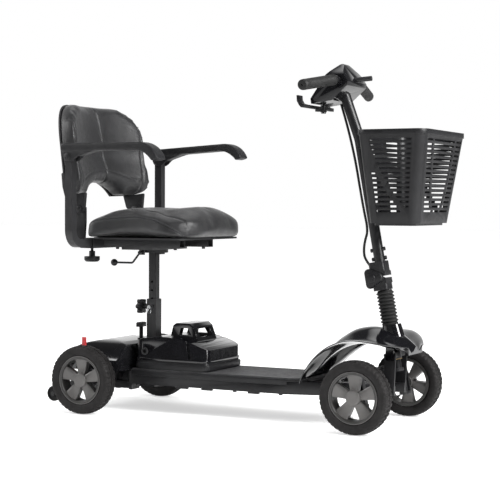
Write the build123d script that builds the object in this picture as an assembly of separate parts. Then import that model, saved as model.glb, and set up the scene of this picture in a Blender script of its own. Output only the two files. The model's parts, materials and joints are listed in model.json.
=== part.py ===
from build123d import *
import math
import os

# Four-wheeled folding mobility scooter.  Millimetres, +Z up, +X forward, +Y to the rider's left.
# All places are first given from the rear axle: x from the axle line, y from the middle, z from
# the ground.  write() then moves every piece so that the origin is under the middle of the length.

# ---------------------------------------------------------------- driving dimensions
wheelbase = 846.0
rear_half_track = 222.0
front_half_track = 198.0
tyre_radius = 100.0
tyre_width = 50.0
rim_barrel_radius = 65.0
rim_flange_radius = 70.0
rim_width = 42.0
hub_radius = 17.0
hub_cap_radius = 20.5
spoke_count = 5
rear_shaft_radius = 8.5
stub_axle_radius = 6.0

deck_height = 128.0
deck_half_width = 112.0
deck_rear_x = 96.0
deck_front_gap = 191.0
rail_height = 36.0
rail_width = 26.0
pan_thickness = 6.0
mat_thickness = 4.0

rake_deg = 10.5
steering_axis_ahead = 50.7
steering_axis_z = 114.7
stem_radius = 12.5
cone_top = 168.0
kingpin_half_track = 150.0
kingpin_radius = 7.0
kingpin_wall = 5.0
axle_beam_radius = 12.0
axle_beam_level = 18.0
bush_outer = 14.8
head_wall = 2.4
steering_arm = 45.0
tie_rod_radius = 4.5

fold_pivot_x = -20.0
fold_pivot_s = 302.0
clamp_front = 18.0
fold_bolt_radius = 5.0
fold_half_width = 24.0
tiller_radius = 15.0
tiller_bend_s = 690.0
tiller_top_back = 182.7
tiller_top_z = 950.0
handlebar_radius = 10.0
grip_radius = 15.5
grip_half_span = 232.0
lead_radius = 3.5

battery_rear_x = 103.0
battery_front_x = 346.0
battery_half_width = 108.0
battery_height = 96.0
battery_case_height = 30.0

post_x = 106.0
post_outer = 32.0
post_wall = 3.0
post_clearance = 0.5
collar_z = 327.0
post_top_z = 466.0
post_hole_pitch = 25.0
post_hole_count = 7
lock_height = 303.0

swivel_plate_z = 476.0
swivel_plate_thickness = 7.0
swivel_disc_radius = 42.0
seat_rail_height = 25.0
seat_rail_width = 32.0
seat_rail_half_gap = 85.0
seat_front_x = 340.0
seat_rear_x = -25.0
seat_half_width = 205.0
seat_top_z = 600.0
pan_board = 5.0

arm_half_span = 252.0
arm_tube = 24.0
arm_post_x = -24.0
arm_pivot_z = 746.0
arm_pad_top_z = 785.0
arm_pad_front_x = 281.0
arm_pad_rear_x = -46.0
arm_pad_width = 50.0
arm_pad_thickness = 22.0
armrest_tilt = {"left": 3.5, "right": 0.0}

back_hinge_x = -50.0
hinge_pin_radius = 5.0
ear_outer = 157.0
ear_thickness = 7.0
back_hinge_z = 596.0
back_half_width = 200.0
back_bottom_z = 645.0
back_top_z = 920.0
back_recline_deg = 7.0
back_depth = 52.0
back_cushion_thickness = 42.0
back_shell_thickness = 5.0
back_arch_radius = 115.0
back_arch_top = 50.0

basket_bottom_z = 562.0
basket_rim_z = 812.0
basket_rear_bottom_back = 48.7
basket_front_bottom_ahead = 93.3
basket_rear_top_back = 68.7
basket_front_top_ahead = 127.3
basket_half_bottom = 130.0
basket_half_top = 170.0
basket_wall = 3.0
basket_lip = 3.0
slot_rows = 16
slot_pitch = 12.7
slot_height = 5.6
bracket_half = 42.0

running_gap = 0.3
anti_tip_x = -178.0
anti_tip_half_track = 110.0
anti_tip_radius = 23.0
anti_tip_height = 36.0

# ---------------------------------------------------------------- worked-out frame values
rail_top = deck_height - mat_thickness - pan_thickness
rail_bottom = rail_top - rail_height
front_axle = Vector(wheelbase, 0, tyre_radius)
deck_front_x = wheelbase - deck_front_gap
post_inner = post_outer - 2 * (post_wall + post_clearance)
steering_axis_x = wheelbase + steering_axis_ahead
tiller_top_x = steering_axis_x - tiller_top_back
basket_rear_bottom_x = steering_axis_x - basket_rear_bottom_back
basket_front_bottom_x = steering_axis_x + basket_front_bottom_ahead
basket_rear_top_x = steering_axis_x - basket_rear_top_back
basket_front_top_x = steering_axis_x + basket_front_top_ahead
rear_end_x = anti_tip_x - anti_tip_radius
front_end_x = basket_front_top_x + basket_lip
middle_x = (rear_end_x + front_end_x) / 2

rake = math.radians(rake_deg)
steer_dir = Vector(-math.sin(rake), 0, math.cos(rake))
steer_fwd = Vector(math.cos(rake), 0, math.sin(rake))
stem_frame = Plane(origin=(steering_axis_x, 0, steering_axis_z), x_dir=steer_fwd, z_dir=steer_dir)


# ---------------------------------------------------------------- helpers
def block(x0, x1, y0, y1, z0, z1):
    """A rectangular block between two corners."""
    return Pos((x0 + x1) / 2, (y0 + y1) / 2, (z0 + z1) / 2) * Box(x1 - x0, y1 - y0, z1 - z0)


def rod(start, end, radius):
    """A round bar from one point to another."""
    start, end = Vector(*start), Vector(*end)
    axis = end - start
    return Plane(origin=start, z_dir=axis).location * Cylinder(
        radius, axis.length, align=(Align.CENTER, Align.CENTER, Align.MIN)
    )


def pipe(start, end, outer, inner):
    """A round tube, open at both ends."""
    start, end = Vector(*start), Vector(*end)
    reach = (end - start).normalized()
    return rod(start, end, outer) - rod(start - reach, end + reach, inner)


def plate_xz(points, y0, y1):
    """A plate cut to an outline in the X-Z plane, from y0 to y1."""
    face = make_face(Polyline([(x, 0, z) for x, z in points], close=True))
    return Pos(0, y0, 0) * extrude(face, amount=y1 - y0, dir=(0, 1, 0))


def plate_xy(points, z0, z1):
    """A plate cut to an outline in the X-Y plane, from z0 to z1."""
    face = make_face(Polyline([(x, y, 0) for x, y in points], close=True))
    return Pos(0, 0, z0) * extrude(face, amount=z1 - z0, dir=(0, 0, 1))


def both_sides(shape):
    """The shape and its mirror image across the middle."""
    return shape + mirror(shape, about=Plane.XZ)


def swept(points, radii, section):
    """A section carried along straight runs joined by tangent arcs."""
    path = FilletPolyline(*points, radius=radii)
    return sweep(Plane(origin=path @ 0, z_dir=path % 0) * section, path=path)


def edges_along(shape, axis):
    return shape.edges().filter_by(axis)


def on_stem(shape):
    return stem_frame.location * shape


def stem_point(x, y, s):
    """A point given in the steering column's own frame."""
    return stem_frame.from_local_coords(Vector(x, y, s))


def write(name, *shapes):
    """Moves a piece so that the origin is under the middle, and writes it."""
    moved = [Pos(-middle_x, 0, 0) * solid for shape in shapes for solid in shape.solids()]
    export_step(Compound(children=moved) if len(moved) > 1 else moved[0], f"parts/{name}.step")


# ---------------------------------------------------------------- wheels
def wheel_frame(x, y, z):
    """Local +Z points outward from the scooter's middle."""
    side = 1 if y > 0 else -1
    return Plane(origin=(x, y, z), x_dir=(1, 0, 0), z_dir=(0, side, 0))


def rim(bore_radius, bore_depth):
    """Five-spoked moulded rim, outward along +Z, with a blind bore from the inner side."""
    half = rim_width / 2
    barrel_inner = rim_barrel_radius - 4
    with BuildPart() as part:
        with BuildSketch(Plane.XZ):
            with BuildLine():
                Polyline(
                    (barrel_inner, -half), (rim_flange_radius, -half), (rim_flange_radius, -half + 2.5),
                    (rim_barrel_radius, -half + 5), (rim_barrel_radius, half - 5),
                    (rim_flange_radius, half - 2.5), (rim_flange_radius, half), (barrel_inner, half),
                    close=True,
                )
            make_face()
        revolve(axis=Axis.Z)
        with Locations((0, 0, -half + 2)):
            Cylinder(hub_radius, 34, align=(Align.CENTER, Align.CENTER, Align.MIN))
    spoke = extrude(
        make_face(Polyline((14, -10), (barrel_inner + 2, -21), (barrel_inner + 2, 21), (14, 10),
                           close=True)),
        amount=24,
    )
    body = part.part
    spoke = spoke & Cylinder(barrel_inner + 1, 60)
    for turn in range(spoke_count):
        body += Rot(0, 0, 90 + turn * 360 / spoke_count) * Pos(0, 0, -8) * spoke
    cap = Pos(0, 0, 12) * Cone(hub_cap_radius, hub_cap_radius - 4, 10,
                               align=(Align.CENTER, Align.CENTER, Align.MIN))
    bore = Pos(0, 0, -half) * Cylinder(bore_radius, bore_depth,
                                       align=(Align.CENTER, Align.CENTER, Align.MIN))
    return body + cap - bore


def tyre():
    """Pneumatic-style tyre seated on the rim's barrel between its flanges."""
    bead = rim_width / 2 - 5
    lip = (bead + 2.5, rim_flange_radius)
    bulge = (tyre_width / 2, (rim_flange_radius + tyre_radius) / 2 + 2)
    shoulder = (tyre_width / 2 - 6, tyre_radius - 3)
    with BuildPart() as part:
        with BuildSketch(Plane.XY):
            with BuildLine():
                Polyline(lip, (bead, rim_barrel_radius), (-bead, rim_barrel_radius), (-lip[0], lip[1]))
                ThreePointArc((-lip[0], lip[1]), (-bulge[0], bulge[1]), (-shoulder[0], shoulder[1]))
                ThreePointArc((-shoulder[0], shoulder[1]), (0, tyre_radius), shoulder)
                ThreePointArc(shoulder, bulge, lip)
            make_face()
        revolve(axis=Axis.X)
    return Rot(0, 90, 0) * part.part


def make_wheels():
    for name, x, half_track in (("rear", 0.0, rear_half_track), ("front", wheelbase, front_half_track)):
        driven = name == "rear"
        for side, word in ((1, "left"), (-1, "right")):
            place = wheel_frame(x, side * half_track, tyre_radius).location
            bore = rear_shaft_radius if driven else stub_axle_radius + running_gap
            wheel_rim = rim(bore, 30)
            write(f"{name}_{word}_tyre", place * tyre())
            if driven:
                shaft = Pos(0, 0, -rim_width / 2 + 30) * Cylinder(
                    rear_shaft_radius, 150, align=(Align.CENTER, Align.CENTER, Align.MAX)
                )
                write(f"{name}_{word}_rim", place * wheel_rim, place * shaft)
            else:
                write(f"{name}_{word}_rim", place * wheel_rim)


def make_anti_tip_wheels():
    for side, word in ((1, "left"), (-1, "right")):
        place = wheel_frame(anti_tip_x, side * anti_tip_half_track, anti_tip_height).location
        tread = Cylinder(anti_tip_radius, 16)
        tread = chamfer(tread.edges(), 2)
        groove = Cylinder(anti_tip_radius - 5, 4, align=(Align.CENTER, Align.CENTER, Align.MIN))
        wheel = tread - Pos(0, 0, 5) * groove - Cylinder(4 + running_gap, 20) + Pos(0, 0, 0) * (
            Cylinder(9, 16) - Cylinder(4 + running_gap, 20)
        )
        write(f"{word}_anti_tip_wheel", place * wheel)


# ---------------------------------------------------------------- chassis
def make_deck_frame():
    """Welded frame: side rails, cross members, spine and steering head."""
    edge = deck_half_width - 2
    rail = block(deck_rear_x, deck_front_x - 60, edge - rail_width, edge, rail_bottom, rail_top)
    neck_end_x = wheelbase - 80
    neck = plate_xy(
        [(deck_front_x - 60, edge), (deck_front_x - 60, edge - rail_width), (neck_end_x, 30),
         (neck_end_x + 20, 30), (neck_end_x + 20, 56)],
        rail_bottom, rail_top,
    )
    frame = both_sides(rail + neck)
    for x in (post_x + post_outer / 2 + running_gap, 230.0, 420.0, deck_front_x - 90):
        frame += block(x, x + 25, -edge + rail_width, edge - rail_width, rail_bottom + 4, rail_top)
    spine_top = rail_top - 2
    head_plate_x, plate_end_x = wheelbase + 18, wheelbase + 50
    frame += both_sides(block(neck_end_x, plate_end_x, 34, 46, rail_bottom + 8, spine_top))
    frame += block(neck_end_x, neck_end_x + 24, -46, 46, rail_bottom + 8, spine_top)
    upright = plate_xz([(head_plate_x, spine_top - 6), (plate_end_x, spine_top - 6), (plate_end_x + 4, 206),
                        (head_plate_x + 6, 206)], 40, 46)
    frame += both_sides(upright)
    head_low, head_high = 74.0, 148.0
    bridge = on_stem(block(-16, 16, -46, 46, 78, 92) - Cylinder(bush_outer, 400))
    head = on_stem(Pos(0, 0, head_low) * (
        Cylinder(bush_outer + head_wall, head_high - head_low,
                 align=(Align.CENTER, Align.CENTER, Align.MIN))
        - Cylinder(bush_outer, head_high - head_low, align=(Align.CENTER, Align.CENTER, Align.MIN))
    ))
    frame += bridge
    frame += head
    beam_at = front_axle + steer_dir * axle_beam_level
    frame -= rod((beam_at.X, -60, beam_at.Z), (beam_at.X, 60, beam_at.Z), axle_beam_radius + 0.2)
    step = block(0, 34, edge - 8, edge + 1, rail_bottom - 5, rail_bottom)
    for x in (250.0, 330.0, 480.0):
        frame += both_sides(Pos(x, 0, 0) * step)
    write("deck_frame", frame)

    flange = 3.0
    for_bushes = []
    for s, flip in ((head_low, 1), (head_high, -1)):
        sleeve = Cylinder(bush_outer, 20, align=(Align.CENTER, Align.CENTER, Align.MIN))
        collar = Pos(0, 0, -flange) * Cylinder(
            bush_outer + head_wall, flange, align=(Align.CENTER, Align.CENTER, Align.MIN)
        )
        bush = sleeve + collar - Cylinder(stem_radius + running_gap, 80)
        if flip < 0:
            bush = Rot(180, 0, 0) * bush
        for_bushes.append(on_stem(Pos(0, 0, s) * bush))
    write("head_bushes", *for_bushes)



def deck_outline(half_width):
    front = deck_front_x
    return [(deck_rear_x, -half_width), (front - 50, -half_width), (front, -half_width + 30),
            (front, half_width - 30), (front - 50, half_width), (deck_rear_x, half_width)]


def make_deck_pan():
    top = rail_top + pan_thickness
    lip = 2.0
    pan = plate_xy(deck_outline(deck_half_width + lip), rail_top, top)
    skirt = block(deck_rear_x, deck_front_x - 52, deck_half_width - 2, deck_half_width + lip,
                  rail_top - 10, rail_top)
    pan += both_sides(skirt)
    recess = plate_xy(deck_outline(deck_half_width - 4), top - 2, top + 1)
    hole = block(post_x - 20, post_x + 20, -22, 22, 0, 200)
    write("deck_pan", pan - recess - hole)
    mat = plate_xy(deck_outline(deck_half_width - 4), top - 2, deck_height)
    grooves = [block(370, deck_front_x - 55, y - 1.2, y + 1.2, deck_height - 1, deck_height + 1)
               for y in range(-90, 91, 20)]
    for groove in grooves:
        mat -= groove
    write("deck_mat", mat - hole)


def make_front_axle():
    """Cross beam with a kingpin tube at each end, set parallel to the steering axis."""
    low, high = -24.0, 40.0
    outer = kingpin_radius + running_gap + kingpin_wall
    beam_point = front_axle + steer_dir * axle_beam_level
    beam = rod((beam_point.X, -kingpin_half_track, beam_point.Z),
               (beam_point.X, kingpin_half_track, beam_point.Z),
               axle_beam_radius)
    bore = None
    for side in (1, -1):
        place = kingpin_plane(side).location
        beam += place * Pos(0, 0, low) * Cylinder(outer, high - low,
                                                  align=(Align.CENTER, Align.CENTER, Align.MIN))
        hole = place * Cylinder(kingpin_radius + running_gap, 300)
        bore = hole if bore is None else bore + hole
    saddle = block(beam_point.X - 20, beam_point.X + 20, -33.7, 33.7, beam_point.Z - 22, beam_point.Z - 5)
    write("front_axle_beam", beam + saddle - bore)


def kingpin_plane(side):
    return Plane(origin=(wheelbase, side * kingpin_half_track, tyre_radius), x_dir=steer_fwd,
                 z_dir=steer_dir)


arm_low, arm_high = 44.0, 52.0


def make_knuckles():
    """Each knuckle is a kingpin, two lugs, an outer plate, a stub axle and a steering arm."""
    lug = 14.0
    low, high = -24.0, 40.0
    for side, word in ((1, "left"), (-1, "right")):
        plate_in, plate_out = 14.5, 21.0
        knuckle = Pos(0, 0, low - 8) * Cylinder(kingpin_radius, high - low + 16 + 4,
                                                align=(Align.CENTER, Align.CENTER, Align.MIN))
        for z0, z1 in ((low - 8, low - running_gap), (high + running_gap, arm_high)):
            knuckle += Pos(0, 0, z0) * Cylinder(lug, z1 - z0, align=(Align.CENTER, Align.CENTER, Align.MIN))
            knuckle += block(-lug, lug, 0, plate_out, z0, z1)
        knuckle += block(-lug, lug, plate_in, plate_out, low - 8, arm_high)
        knuckle += plate_xy([(0, -9), (-steering_arm, -8), (-steering_arm, 8), (0, 9)], arm_low, arm_high)
        knuckle += Pos(-steering_arm, 0, arm_low) * Cylinder(
            8, arm_high - arm_low, align=(Align.CENTER, Align.CENTER, Align.MIN))
        knuckle += tie_stud(side, -steering_arm)
        if side < 0:
            knuckle = mirror(knuckle, about=Plane.XZ)
        knuckle = kingpin_plane(side).location * knuckle
        wheel_mid = side * front_half_track
        inner = side * (kingpin_half_track + plate_in + 1)
        shoulder = side * (front_half_track - rim_width / 2 + 2 - running_gap)
        tip = wheel_mid + side * (-rim_width / 2 + 28)
        knuckle += rod((wheelbase, inner, tyre_radius), (wheelbase, shoulder, tyre_radius), 11)
        knuckle += rod((wheelbase, inner, tyre_radius), (wheelbase, tip, tyre_radius), stub_axle_radius)
        write(f"{word}_knuckle", knuckle)


def tie_stud(side, x):
    """Ball stud of a steering arm: upward on the right, downward on the left."""
    stud_radius = 3.5
    reach = 12.0
    if side < 0:
        stud = Pos(x, 0, arm_high) * Cylinder(stud_radius, reach,
                                              align=(Align.CENTER, Align.CENTER, Align.MIN))
        return stud + Pos(x, 0, arm_high + reach - 3) * Cylinder(
            6.5, 3, align=(Align.CENTER, Align.CENTER, Align.MIN))
    stud = Pos(x, 0, arm_low) * Cylinder(stud_radius, reach, align=(Align.CENTER, Align.CENTER, Align.MAX))
    return stud + Pos(x, 0, arm_low - reach + 3) * Cylinder(
        6.5, 3, align=(Align.CENTER, Align.CENTER, Align.MAX))


def make_tie_rods():
    """Two track rods: the right one above the arms and the left one below."""
    rods = []
    eye = 8.0
    eye_height = 7.5
    for side, level in ((-1, arm_high + running_gap), (1, arm_low - running_gap - eye_height)):
        start_s = steering_level(level)
        inner = stem_frame.from_local_coords(Vector(-steering_arm, 0, start_s))
        outer = kingpin_plane(side).from_local_coords(Vector(-steering_arm, 0, level))
        up = steer_dir * (eye_height / 2)
        ring = Cylinder(eye, eye_height, align=(Align.CENTER, Align.CENTER, Align.MIN))
        hole = Cylinder(3.5 + running_gap, 60)
        piece = rod(inner + up, outer + up, tie_rod_radius - 0.8)
        for centre in (inner, outer):
            piece += Plane(origin=centre, x_dir=steer_fwd, z_dir=steer_dir).location * ring
        for centre in (inner, outer):
            piece -= Plane(origin=centre, x_dir=steer_fwd, z_dir=steer_dir).location * hole
        rods.append(piece)
    write("tie_rods", *rods)


def steering_level(level):
    """The height along the column of a plane square to it that a kingpin crosses at the given height."""
    return (kingpin_plane(1).origin + steer_dir * level - stem_frame.origin).dot(steer_dir)


def make_steering_stem():
    """Steering column with its drop arm and the lower half of the folding clamp."""
    low, high = steering_level(arm_low), steering_level(arm_high)
    stem = Pos(0, 0, low) * Cylinder(stem_radius, fold_pivot_s - 20 - low,
                                     align=(Align.CENTER, Align.CENTER, Align.MIN))
    stem += Pos(0, 0, low) * Cylinder(17, high - low, align=(Align.CENTER, Align.CENTER, Align.MIN))
    stem += plate_xy([(0, -12), (-steering_arm, -8), (-steering_arm, 8), (0, 12)], low, high)
    stem += Pos(-steering_arm, 0, low) * Cylinder(8, high - low,
                                                  align=(Align.CENTER, Align.CENTER, Align.MIN))
    rise = low - arm_low
    stem += Pos(0, 0, rise) * tie_stud(-1, -steering_arm)
    stem += Pos(0, 0, rise) * tie_stud(1, -steering_arm)
    body = block(-25, clamp_front, -fold_half_width, fold_half_width, fold_pivot_s - 36, fold_pivot_s - 18)
    body = fillet(edges_along(body, Axis.Z), 8)
    stem += body
    stem += block(-2, clamp_front, -fold_half_width, fold_half_width, fold_pivot_s - 18, fold_pivot_s - 3)
    pivot = Pos(fold_pivot_x, 0, fold_pivot_s) * Rot(90, 0, 0)
    ears = pivot * Cylinder(14, 2 * fold_half_width)
    ears += block(fold_pivot_x - 5, -2, -fold_half_width, fold_half_width, fold_pivot_s - 18, fold_pivot_s)
    tongue_gap = block(fold_pivot_x - 20, -2, -10 - running_gap, 10 + running_gap, fold_pivot_s - 18,
                       fold_pivot_s + 20)
    stem += ears - tongue_gap
    stem -= pivot * Cylinder(fold_bolt_radius + running_gap, 80)
    write("steering_stem", on_stem(stem))


def make_bellows():
    """Ribbed rubber gaiter between the cowl and the folding clamp."""
    low, high = cone_top + running_gap, fold_pivot_s - 36.5
    ribs = 9
    pitch = (high - low) / ribs
    points = [(stem_radius + 0.5, low), (20, low)]
    for rib in range(ribs):
        base = low + rib * pitch
        points += [(25, base + pitch * 0.35), (25, base + pitch * 0.5), (20.5, base + pitch)]
    points += [(stem_radius + 0.5, high)]
    face = make_face(Polyline([(r, 0, s) for r, s in points], close=True))
    write("stem_bellows", on_stem(revolve(face, axis=Axis.Z)))


# ---------------------------------------------------------------- tiller
def tiller_line():
    """Centre line of the tiller: straight up the column, then bent back to the console."""
    start = stem_point(0, 0, fold_pivot_s + 18)
    bend = stem_point(0, 0, tiller_bend_s)
    return [start, bend, Vector(tiller_top_x, 0, tiller_top_z)]


def handlebar_line(side):
    """The bar from the console's middle out and back to the grip's end."""
    return [Vector(tiller_top_x + 2, 0, tiller_top_z), Vector(tiller_top_x + 20, side * 86, 957),
            Vector(tiller_top_x - 12, side * (grip_half_span - 4), 930)]


def make_tiller():
    start, bend, top = tiller_line()
    tube = swept([start, bend, top], 120, Circle(tiller_radius))
    clamp = block(-28, clamp_front, -fold_half_width, fold_half_width, fold_pivot_s + 16, fold_pivot_s + 44)
    clamp = fillet(edges_along(clamp, Axis.Z), 8)
    clamp += block(-2, clamp_front, -fold_half_width, fold_half_width, fold_pivot_s + 3, fold_pivot_s + 16)
    pivot = Pos(fold_pivot_x, 0, fold_pivot_s) * Rot(90, 0, 0)
    clamp += pivot * Cylinder(14, 20)
    clamp += block(fold_pivot_x - 8, -4, -10, 10, fold_pivot_s, fold_pivot_s + 20)
    clamp -= pivot * Cylinder(fold_bolt_radius, 80)
    tiller = tube + on_stem(clamp)
    before, gland = lead_route()[-2:]
    tiller -= rod(before, gland + (gland - before).normalized() * 3, lead_radius + running_gap)
    for side in (1, -1):
        tiller += swept(handlebar_line(side), 40, Circle(handlebar_radius))
    tiller += rod((tiller_top_x + 14, 0, 957), (tiller_top_x + 91, 0, 962), 7)
    basket_s = [stem_point(0, 0, s) for s in (500.0, 668.0)]
    for point in basket_s:
        wall_x = basket_rear_x(point.Z + 16)
        tiller += block(point.X, wall_x - 0.3, -26, 26, point.Z - 4, point.Z + 4)
        tiller += block(wall_x - 4.3, wall_x - 0.3, -34, 34, point.Z - 16, point.Z + 16)
    write("tiller_tube", tiller)

    bolts = []
    for s in (fold_pivot_s + 52, fold_pivot_s + 77):
        bolt = rod(stem_point(-21, 0, s), stem_point(21, 0, s), 3)
        bolt += rod(stem_point(-21, 0, s), stem_point(-tiller_radius, 0, s), 5.5)
        bolt += rod(stem_point(tiller_radius, 0, s), stem_point(21, 0, s), 5.5)
        bolts.append(bolt - tube)
    pin = rod(stem_point(fold_pivot_x, -40, fold_pivot_s), stem_point(fold_pivot_x, 26, fold_pivot_s),
              fold_bolt_radius)
    nut = rod(stem_point(fold_pivot_x, fold_half_width + 0.5, fold_pivot_s),
              stem_point(fold_pivot_x, fold_half_width + 8, fold_pivot_s), 9)
    write("tiller_bolts", *bolts, pin + nut)


def make_fold_knob():
    """Three-cornered clamping knob on the fold's bolt, with a raised round boss."""
    profile = make_face(Polyline((46, 0), (-18, 36), (-18, -36), close=True))
    profile = fillet(profile.vertices(), 12)
    knob = extrude(profile, amount=14)
    knob = chamfer(knob.faces().sort_by(Axis.Z)[-1].edges(), 3)
    knob += Cylinder(13, 17, align=(Align.CENTER, Align.CENTER, Align.MIN))
    knob -= Cylinder(fold_bolt_radius + running_gap, 2 * (40 - fold_half_width - 0.4 + running_gap))
    facing = Plane(origin=stem_point(fold_pivot_x, -fold_half_width - 0.4, fold_pivot_s),
                   x_dir=steer_fwd, z_dir=(0, -1, 0))
    write("fold_knob", facing.location * knob)


# ---------------------------------------------------------------- console
console_rear_low = (tiller_top_x - 62, 892.0)
console_front = (tiller_top_x + 48, 940.0)
console_peak = (tiller_top_x + 12, 1005.0)
console_under = (tiller_top_x + 1, 900.0)
console_half_width = 68.0
throttle_pin_x = tiller_top_x - 54
throttle_pin_radius = 3.0


def console_panel_plane():
    """Plane of the sloping control panel, with local Y up the slope."""
    low = Vector(console_rear_low[0] - 2, 0, console_rear_low[1] + 14)
    high = Vector(console_peak[0] - 8, 0, console_peak[1] - 2)
    up = (high - low).normalized()
    normal = Vector(-up.Z, 0, up.X)
    return Plane(origin=(low + high) / 2, x_dir=(0, -1, 0), z_dir=normal), (high - low).length


def console_shield(inset):
    """Front outline of the console, peaked in the middle, as a block to trim against."""
    half = console_half_width - inset
    peak = console_peak[1] + 2 - inset
    outline = [(-half, 860), (half, 860), (half, peak - 36), (half - 12, peak - 26), (9, peak), (-9, peak),
               (-half + 12, peak - 26), (-half, peak - 36)]
    face = make_face(Polyline([(0, y, z) for y, z in outline], close=True))
    return Pos(tiller_top_x - 114, 0, 0) * extrude(face, amount=220, dir=(1, 0, 0))


def make_console():
    (rx, rz), (fx, fz), (px, pz), (ux, uz) = console_rear_low, console_front, console_peak, console_under
    outline = [(rx, rz), (rx - 2, rz + 14), (px - 8, pz - 2), (px + 2, pz), (fx, fz + 12), (fx - 2, fz),
               (ux, uz)]
    shell = plate_xz(outline, -console_half_width, console_half_width)
    shell = fillet(edges_along(shell, Axis.Y).sort_by(Axis.Z)[-2:], 8)
    shell = shell & console_shield(0)
    plane, length = console_panel_plane()
    recess = plane.location * Pos(0, 0, -3) * Box(2 * console_half_width - 16, length - 14,
                                                  6.02) & console_shield(8)
    cavity = plate_xz([(rx + 10, rz + 8), (px, pz - 20), (fx - 10, fz + 6), (ux + 4, uz + 6)],
                      -console_half_width + 4, console_half_width - 4) & console_shield(6)
    bar = None
    for side in (1, -1):
        sweep_cut = swept(handlebar_line(side), 40, Circle(handlebar_radius + running_gap))
        bar = sweep_cut if bar is None else bar + sweep_cut
    start, bend, top = tiller_line()
    tube_cut = swept([start, bend, top + (top - bend).normalized() * 0.5], 120,
                     Circle(tiller_radius + running_gap))
    peg_cut = rod((tiller_top_x + 14, 0, 957), (tiller_top_x + 111, 0, 963.3), 7 + running_gap)
    shell = shell - cavity - recess - bar - tube_cut - peg_cut
    low_pin = console_rear_low[1] - 24
    shell += rod((throttle_pin_x, 0, rz + 4), (throttle_pin_x, 0, low_pin), throttle_pin_radius)
    shell += rod((throttle_pin_x, 0, low_pin + 3.4), (throttle_pin_x, 0, low_pin), 7)
    shell -= plane.location * dial_place() * Cylinder(5, 40)
    shell -= plane.location * horn_place() * Cylinder(8 + running_gap, 24)
    shell -= plane.location * key_place() * Cylinder(4, 40)
    write("console_shell", shell)

    panel = plane.location * Pos(0, 0, -3) * Box(2 * console_half_width - 16, length - 14,
                                                 6) & console_shield(8)
    panel -= plane.location * (dial_place() * Cylinder(4 + running_gap, 40))
    panel -= plane.location * (horn_place() * Cylinder(8 + running_gap, 40))
    panel -= plane.location * (key_place() * Cylinder(2.5 + running_gap, 40))
    write("console_panel", panel)

    dial = Cylinder(13, 10, align=(Align.CENTER, Align.CENTER, Align.MIN))
    dial = chamfer(dial.faces().sort_by(Axis.Z)[-1].edges(), 2)
    dial += Pos(0, 0, -8) * Cylinder(4, 10, align=(Align.CENTER, Align.CENTER, Align.MIN))
    dial -= Pos(0, 8, 9) * Box(2, 12, 3)
    write("speed_dial", plane.location * dial_place() * Pos(0, 0, running_gap) * dial)

    button = Cylinder(8, 9)
    write("horn_button", plane.location * horn_place() * Pos(0, 0, 0.2) * button)

    key = Pos(0, 0, -5) * Cylinder(2.5, 25, align=(Align.CENTER, Align.CENTER, Align.MIN))
    key += Pos(0, 0, 26) * Box(14, 2.5, 16)
    key = key - Pos(0, 0, 29) * Rot(90, 0, 0) * Cylinder(3, 10)
    write("key", plane.location * key_place() * key)


def dial_place():
    return Pos(0, 14, 0)


def horn_place():
    return Pos(36, -26, 0)


def key_place():
    return Pos(-36, -26, 0)


def make_throttle():
    """See-saw thumb lever under the console, one paddle for each hand, on a pin in the console's floor."""
    x0, z0 = console_rear_low[0] - 14, console_rear_low[1] - 12
    bar = block(x0, x0 + 8, -92, 92, z0, z0 + 9)
    for side in (1, -1):
        points = [(x0 + 8, z0), (x0 + 8, z0 + 9), (x0 - 2, z0 + 12), (x0 - 8, z0 + 22), (x0 - 9, z0 + 34),
                  (x0 - 14, z0 + 34), (x0 - 13, z0 + 18), (x0 - 6, z0 + 6), (x0, z0)]
        bar += plate_xz(points, side * 104 if side < 0 else 74, side * 104 if side > 0 else -74)
    bar += block(x0, throttle_pin_x, -9, 9, z0 - 6, z0 + 3)
    bar += rod((throttle_pin_x, 0, z0 - 8), (throttle_pin_x, 0, z0 + 11), 9)
    bar -= rod((throttle_pin_x, 0, z0 - 20), (throttle_pin_x, 0, z0 + 20),
               throttle_pin_radius + running_gap)
    write("throttle_lever", bar)


def make_grips():
    grips = []
    for side in (1, -1):
        inner, end = handlebar_line(side)[1:]
        reach = (end - inner).normalized()
        start = inner + reach * 14
        stop = end + reach * 6
        grip = rod(start, stop, grip_radius)
        grip += rod(start, start + reach * 5, grip_radius + 3)
        for ring in range(5):
            at = start + reach * (22 + 20 * ring)
            grip -= pipe(at, at + reach * 3, grip_radius + 2, grip_radius - 1.2)
        grip -= rod(start - reach, end, handlebar_radius)
        grips.append(grip)
    write("grips", *grips)


# ---------------------------------------------------------------- basket
def basket_rear_x(z):
    share = (z - basket_bottom_z) / (basket_rim_z - basket_bottom_z)
    return basket_rear_bottom_x + (basket_rear_top_x - basket_rear_bottom_x) * share


def basket_section(z, inset):
    """Rounded rectangle of the basket at a height, drawn in by a wall."""
    share = (z - basket_bottom_z) / (basket_rim_z - basket_bottom_z)
    rear = basket_rear_x(z) + inset
    front = basket_front_bottom_x + (basket_front_top_x - basket_front_bottom_x) * share - inset
    half = basket_half_bottom + (basket_half_top - basket_half_bottom) * share - inset
    return Pos((rear + front) / 2, 0, z) * RectangleRounded(front - rear, 2 * half, 28 - inset)


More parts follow.
